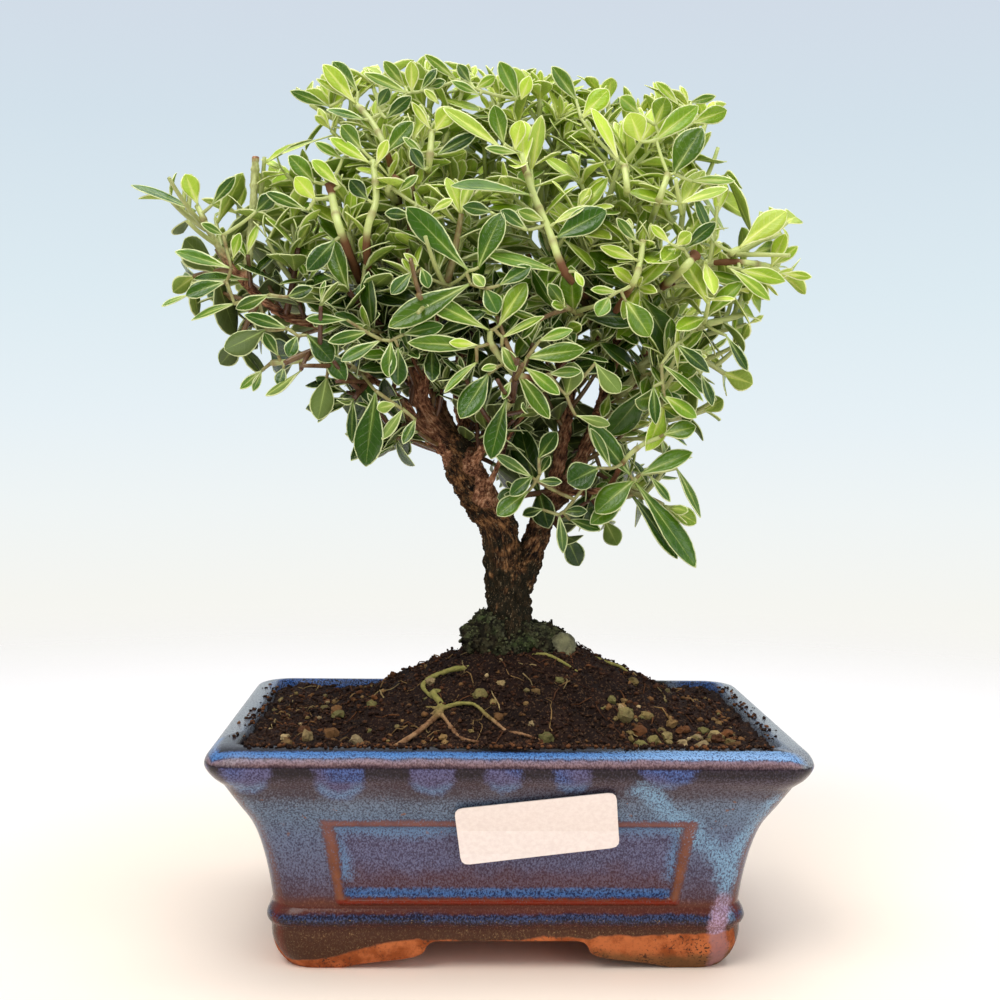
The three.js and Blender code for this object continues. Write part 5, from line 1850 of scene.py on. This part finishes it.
def freeLeaf(bm, root, way, angle, tilt, length, rank, rng):
    along, face = leafWays(way, aroundStem(way, angle), tilt, freeLeaves["skyward"])
    plan = {
        "root": root - along * freeLeaves["sunk"], "along": along, "face": face, "length": length,
        "half": length * rng.uniform(*freeLeaves["slimness"]), "arch": rng.uniform(*freeLeaves["arch"]),
    }
    tip = leafTip(plan)
    across, down = toFrame(tip)
    outward = abs(across - dome["across"]) / dome["halfAcross"]
    leftOut = freeLeaves["endsLeftOut"] * smoothStep(freeLeaves["endsFrom"], freeLeaves["endsTo"], outward)
    lowRight = smoothStep(freeLeaves["lowFrom"], freeLeaves["lowTo"], down)
    lowRight *= smoothStep(freeLeaves["rightFrom"], freeLeaves["rightTo"], across)
    leftOut = max(leftOut, freeLeaves["lowLeftOut"] * lowRight)
    if chance(round(tip.x * 10), round(tip.y * 10), round(tip.z * 10)) < leftOut:
        return
    if inOutline(tip) and not hidesWood(plan["root"], tip) and not hidesFrontLeaf(plan["root"], tip):
        addLeaf(bm, plan, youthAt(root, rank, rng), rng, plainTemplate)


# The angle of a leaf round its stem, where leaves stand in pairs, each turned a quarter against the last.
def pairAngle(turn, index, spread, rng):
    return turn + math.pi * (index % 2) + math.pi / 2 * (index // 2) + rng.uniform(-spread, spread)


# A cluster of small leaves round the tip of a stem: how far each pair leans out, its size and its colour.
rosette = {"leans": (58, 36, 16), "sizes": (1.0, 0.78, 0.5), "apart": 0.7, "fullFrom": 9, "rank": 1.05}


def addRosette(bm, curve, rng, largest):
    tip, way = curve[2], stemWayAt(curve, 1)
    start = rng.uniform(0, 6.28)
    for number in range(6 if largest > rosette["fullFrom"] else 4):
        pair = number // 2
        angle = pairAngle(start, number, 0.3, rng)
        tilt = math.radians(rosette["leans"][pair] + rng.uniform(-9, 9))
        length = largest * rosette["sizes"][pair] * rng.uniform(0.85, 1.12)
        freeLeaf(bm, tip + way * rosette["apart"] * pair, way, angle, tilt, length, rosette["rank"], rng)


# A side shoot out of the axil of a leaf, if the crown has room for it within a few tries.
sideShoot = {
    "tries": 4, "forward": 0.55, "outward": 0.8, "upward": 0.4, "lookAhead": 7, "low": 0.75, "high": 0.55,
    "longFrom": 13, "first": 0.32, "last": 0.88, "lowLean": 72, "highLean": 52, "length": (11.5, 17.5),
    "smallShare": 0.2, "small": 0.65, "rosette": (8, 13),
}


def addSideShoot(bm, curve, share, rng, reach, finder, allowed):
    start, way = onStem(curve, share), stemWayAt(curve, share)
    for attempt in range(sideShoot["tries"]):
        outward = aroundStem(way, rng.uniform(0, 6.28)) * sideShoot["outward"]
        tip = start + (way * sideShoot["forward"] + outward + up * sideShoot["upward"]).normalized() * reach
        beyond = tip + (tip - start).normalized() * sideShoot["lookAhead"]
        if finder.find(beyond)[2] < allowed and inOutline(tip):
            break
    else:
        return
    side = stemCurve(start, tip)
    addStem(bm, stemPoints(side), sideShoot["low"], sideShoot["high"], youthAt(start, 0.6, rng))
    turn = rng.uniform(0, 6.28)
    pairs = 3 if reach > sideShoot["longFrom"] else 2
    for index in range(2 * pairs):
        rank = (index // 2) / (pairs - 1)
        place = mix(sideShoot["first"], sideShoot["last"], rank)
        angle = pairAngle(turn, index, 0.35, rng)
        tilt = math.radians(mix(sideShoot["lowLean"], sideShoot["highLean"], rank) + rng.uniform(-12, 12))
        length = rng.uniform(*sideShoot["length"])
        length *= sideShoot["small"] if rng.random() < sideShoot["smallShare"] else 1
        freeLeaf(bm, onStem(side, place), stemWayAt(side, place), angle, tilt, length, 0.25 + 0.5 * rank, rng)
    addRosette(bm, side, rng, rng.uniform(*sideShoot["rosette"]))


def cadFinder(names):
    meshes = [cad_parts[name].data for name in names]
    return finderOf([(vert.co - potMiddle) / mm for mesh in meshes for vert in mesh.vertices])


def onLimb(limbName, share):
    return splineAt([point[:3] for point in limbs[limbName]], share)


# Points all along the limbs, where a stem can start, and the one nearest to a spot.
def limbPerches():
    return [point for points in limbs.values() for point, radius in curvePoints(points, 2)]


def nearestPerch(perches, spot):
    return min(perches, key=lambda point: (point - spot).length_squared)


shootNames = ["leafy_shoot_%02d" % (number + 1) for number in range(len(shoots))]
crownFinder = cadFinder(shootNames)


def makeShoot(number, material):
    limbName, place, tip = shoots[number]
    name = shootNames[number]
    start = onLimb(limbName, place)
    curve = stemCurve(start, Vector(tip))
    rng = random.Random(leaf["seed"] + number)
    finder = cadFinder([name])
    bm = bmesh.new()
    addStem(bm, stemPoints(curve), stem["low"], stem["high"], youthAt(start, 0.5, rng))
    for index in range(2 * pairsOn(curve)):
        plans = [leafPlan(curve, number, index, bend) for bend in bends]
        nearest = min(plans, key=lambda plan: finder.find(leafTip(plan))[2])
        if finder.find(leafTip(nearest))[2] > leaf["found"]:
            continue
        nearest["length"] *= leaf["trueLength"] if inOutline(leafTip(nearest)) else leaf["keptIn"]
        if hidesFrontLeaf(nearest["root"], leafTip(nearest)):
            continue
        addLeaf(bm, nearest, youthAt(nearest["root"], nearest["rank"], rng), rng)
    addRosette(bm, curve, rng, 14)
    sides = 1 + round((curve[2] - curve[0]).length / leaf["sideEvery"])
    for side in range(sides):
        share = mix(0.2, 0.92, (side + rng.uniform(0.1, 0.9)) / sides)
        addSideShoot(bm, curve, share, rng, rng.uniform(8, 14), crownFinder, 5)
    finishPiece("leaves_%02d" % (number + 1), bm, material, [name])


# Shoots inside the crown, straight off the branches: old dark leaves that close the gaps.
inner = {
    "spacing": 6, "lowest": 130, "reach": (10, 20), "allowed": 15, "mostFaces": 60000, "seed": 211,
    "skipped": ("trunk", "leftStem", "rightStem"),
}


def makeInnerShoots(material):
    rng = random.Random(inner["seed"])
    bm = bmesh.new()
    piece = 1
    for limbName, bendPoints in limbs.items():
        if limbName in inner["skipped"]:
            continue
        points = [point for point, radius in curvePoints(bendPoints, inner["spacing"])]
        for number, place in enumerate(points):
            way = wayAt(points, number)
            if place.z < inner["lowest"]:
                continue
            curve = (place - way * 3, place, place + way * 3)
            addSideShoot(bm, curve, 0.5, rng, rng.uniform(*inner["reach"]), crownFinder, inner["allowed"])
            if len(bm.faces) > inner["mostFaces"]:
                finishPiece("inner_leaves_%02d" % piece, bm, material)
                piece += 1
                bm = bmesh.new()
    finishPiece("inner_leaves_%02d" % piece, bm, material)


# Shoots that fill gaps of the crown: where they end, in pixels of the frame, and how deep.
fillers = (
    (490, 300, 0), (500, 322, 8), (478, 284, 6), (512, 300, 12), (445, 94, 8), (462, 92, 2), (452, 108, 14),
    (600, 468, 12), (612, 482, 8), (572, 452, 16), (588, 490, 14), (520, 442, 14), (500, 468, 8),
    (532, 412, 18), (512, 424, 6), (585, 130, 12), (600, 95, 10), (560, 100, 14), (640, 160, 12),
    (486, 345, 12), (566, 400, 16), (550, 440, 20), (610, 440, 16), (624, 468, 14), (520, 330, 14),
    (540, 300, 16), (585, 420, 20),
)


def makeFillers(material):
    rng = random.Random(inner["seed"] + 1)
    bm = bmesh.new()
    perches = limbPerches()
    for spot in fillers:
        tip = fromFrame(*spot)
        perch = nearestPerch(perches, tip)
        if (tip - perch).length < 12:
            perch = perch - (tip - perch).normalized() * 0.5
        side = stemCurve(perch, tip)
        addStem(bm, stemPoints(side), 0.8, 0.6, youthAt(tip, 0.2, rng))
        turn = rng.uniform(0, 6.28)
        for index in range(6):
            place = mix(0.4, 1, (index // 2) / 2)
            angle = pairAngle(turn, index, 0.3, rng)
            tilt = math.radians(rng.uniform(45, 80))
            root, way = onStem(side, place), stemWayAt(side, place)
            freeLeaf(bm, root, way, angle, tilt, rng.uniform(13, 19), 0.2, rng)
        addRosette(bm, side, rng, 11)
    finishPiece("filling_leaves", bm, material)


# The front leaves, on stems that reach them from the nearest wood.
def makeFrontLeaves(material):
    rng = random.Random(leaf["seed"] - 1)
    bm = bmesh.new()
    perches = limbPerches()
    for limbName, place, bendsSeen, low, high, cut in frontStems:
        bendPoints = [fromFrame(across, down, domeDepth(across, down) + 1) for across, down in bendsSeen]
        bendPoints.insert(0, onLimb(limbName, place))
        count = 9 * len(bendsSeen)
        points = [splineAt(bendPoints, number / count) for number in range(count + 1)]
        low, high = low * stem["frontThick"], high * stem["frontThick"]
        youth = max(0.48, youthAt(points[-1], 0.7, rng))
        addStem(bm, points, low, high, youth, cut, 0.34 if len(bendsSeen) > 2 else 0.16)
        perches += points
    for row in frontLeaves:
        plan = frontLeafPlan(row)
        perch = nearestPerch(perches, plan["root"])
        gap = (perch - plan["root"]).length
        if gap > 1.2:
            knee = perch.lerp(plan["root"], 0.6) - up * gap * 0.06
            twig = stemPoints((perch, knee, plan["root"] + plan["along"] * 0.5))
            addStem(bm, twig, 0.55, 0.42, max(0.32, youthAt(plan["root"], 0.3, rng)))
            perches += twig
        addLeaf(bm, plan, plan["youth"], rng)
    finishPiece("front_leaves", bm, material)


def makeLeafMaterial():
    material, shader, place = startMaterial("creamEdgedLeaf")
    across, along, under, width, youth, tone = (
        trait(material, name) for name in ("across", "along", "under", "width", "youth", "tone")
    )
    aside = calc("ABSOLUTE", across)
    fromMiddle = times(aside, width)
    fromEdge = minus(width, fromMiddle)
    drift = wanderOf(place, 420, 3)
    age = calc("ADD", youth, times(wanderOf(place, 150, 2), 0.3), clamp=True)
    upper = shades(age, (
        (0.0, 35, 59, 12), (0.3, 55, 91, 12), (0.52, 98, 134, 20), (0.75, 148, 178, 32), (1.0, 186, 208, 66),
    ))
    lower = shades(age, ((0.0, 80, 92, 40), (0.45, 112, 134, 48), (1.0, 178, 202, 80)))
    green = blend(times(under, 0.85), upper, lower)
    dim = addNode("HueSaturation", {"Value": band(tone, 0, 1, 0.74, 1.14), "Color": green}).outputs[0]

    # a pale stripe that spreads from the base of young leaves, the rib, and slanted veins
    stripeWidth = band(along, 0.1, 0.95, 1.25, 0.15)
    stripe = calc("DIVIDE", stirred(fromMiddle, (drift, 0.9)), stripeWidth)
    stripeShare = times(band(stripe, 1.0, 0.35), band(age, 0.3, 0.95, 0.06, 0.7))
    colour = blend(stripeShare, dim, paint(212, 220, 100))
    ribWidth = band(along, 0, 1, 0.3, 0.05)
    rib = band(calc("DIVIDE", fromMiddle, ribWidth), 1.15, 0.55)
    ribColour = blend(age, paint(138, 164, 80), paint(222, 226, 140))
    rib = times(rib, band(age, 0, 0.6, 0.62, 1))
    colour = blend(times(rib, band(along, 0.2, 1, 0.85, 0.35)), colour, ribColour)
    slant = minus(times(along, 8.5), times(aside, 1.5))
    veins = times(band(calc("PINGPONG", slant, 0.5), 0.42, 0.5), band(fromEdge, 0.5, 1.2))
    colour = blend(times(veins, band(age, 0.2, 1, 0.07, 0.3)), colour, ribColour)

    # the cream margin, and the stems
    margin = times(band(stirred(fromEdge, (drift, 0.45)), 0.36, 0.18), band(along, 0.02, 0.2))
    colour = blend(margin, colour, blend(age, paint(196, 206, 146), paint(238, 240, 172)))
    stemColour = shades(stirred(youth, (drift, 0.3)), (
        (0.1, 88, 58, 40), (0.26, 128, 104, 66), (0.4, 164, 168, 104), (1.0, 198, 208, 128),
    ))
    stemColour = blend(under, stemColour, paint(116, 74, 44))
    colour = blend(band(along, -0.4, -0.6), colour, stemColour)
    shine = plus(band(under, 0, 1, 0.2, 0.55), times(age, 0.16))
    height = minus(minus(grainOf(place, 1300, 3), times(veins, 0.4)), times(rib, 0.9))
    wire(shader, colour=colour, roughness=shine, normal=bump(height, 0.35, 0.0004), specular=0.42)
    return material


leafMaterial = makeLeafMaterial()
for shootNumber in range(len(shoots)):
    makeShoot(shootNumber, leafMaterial)
print("leafy shoots ready")
makeInnerShoots(leafMaterial)
makeFillers(leafMaterial)
print("inner shoots ready")
makeFrontLeaves(leafMaterial)
print("front leaves ready")
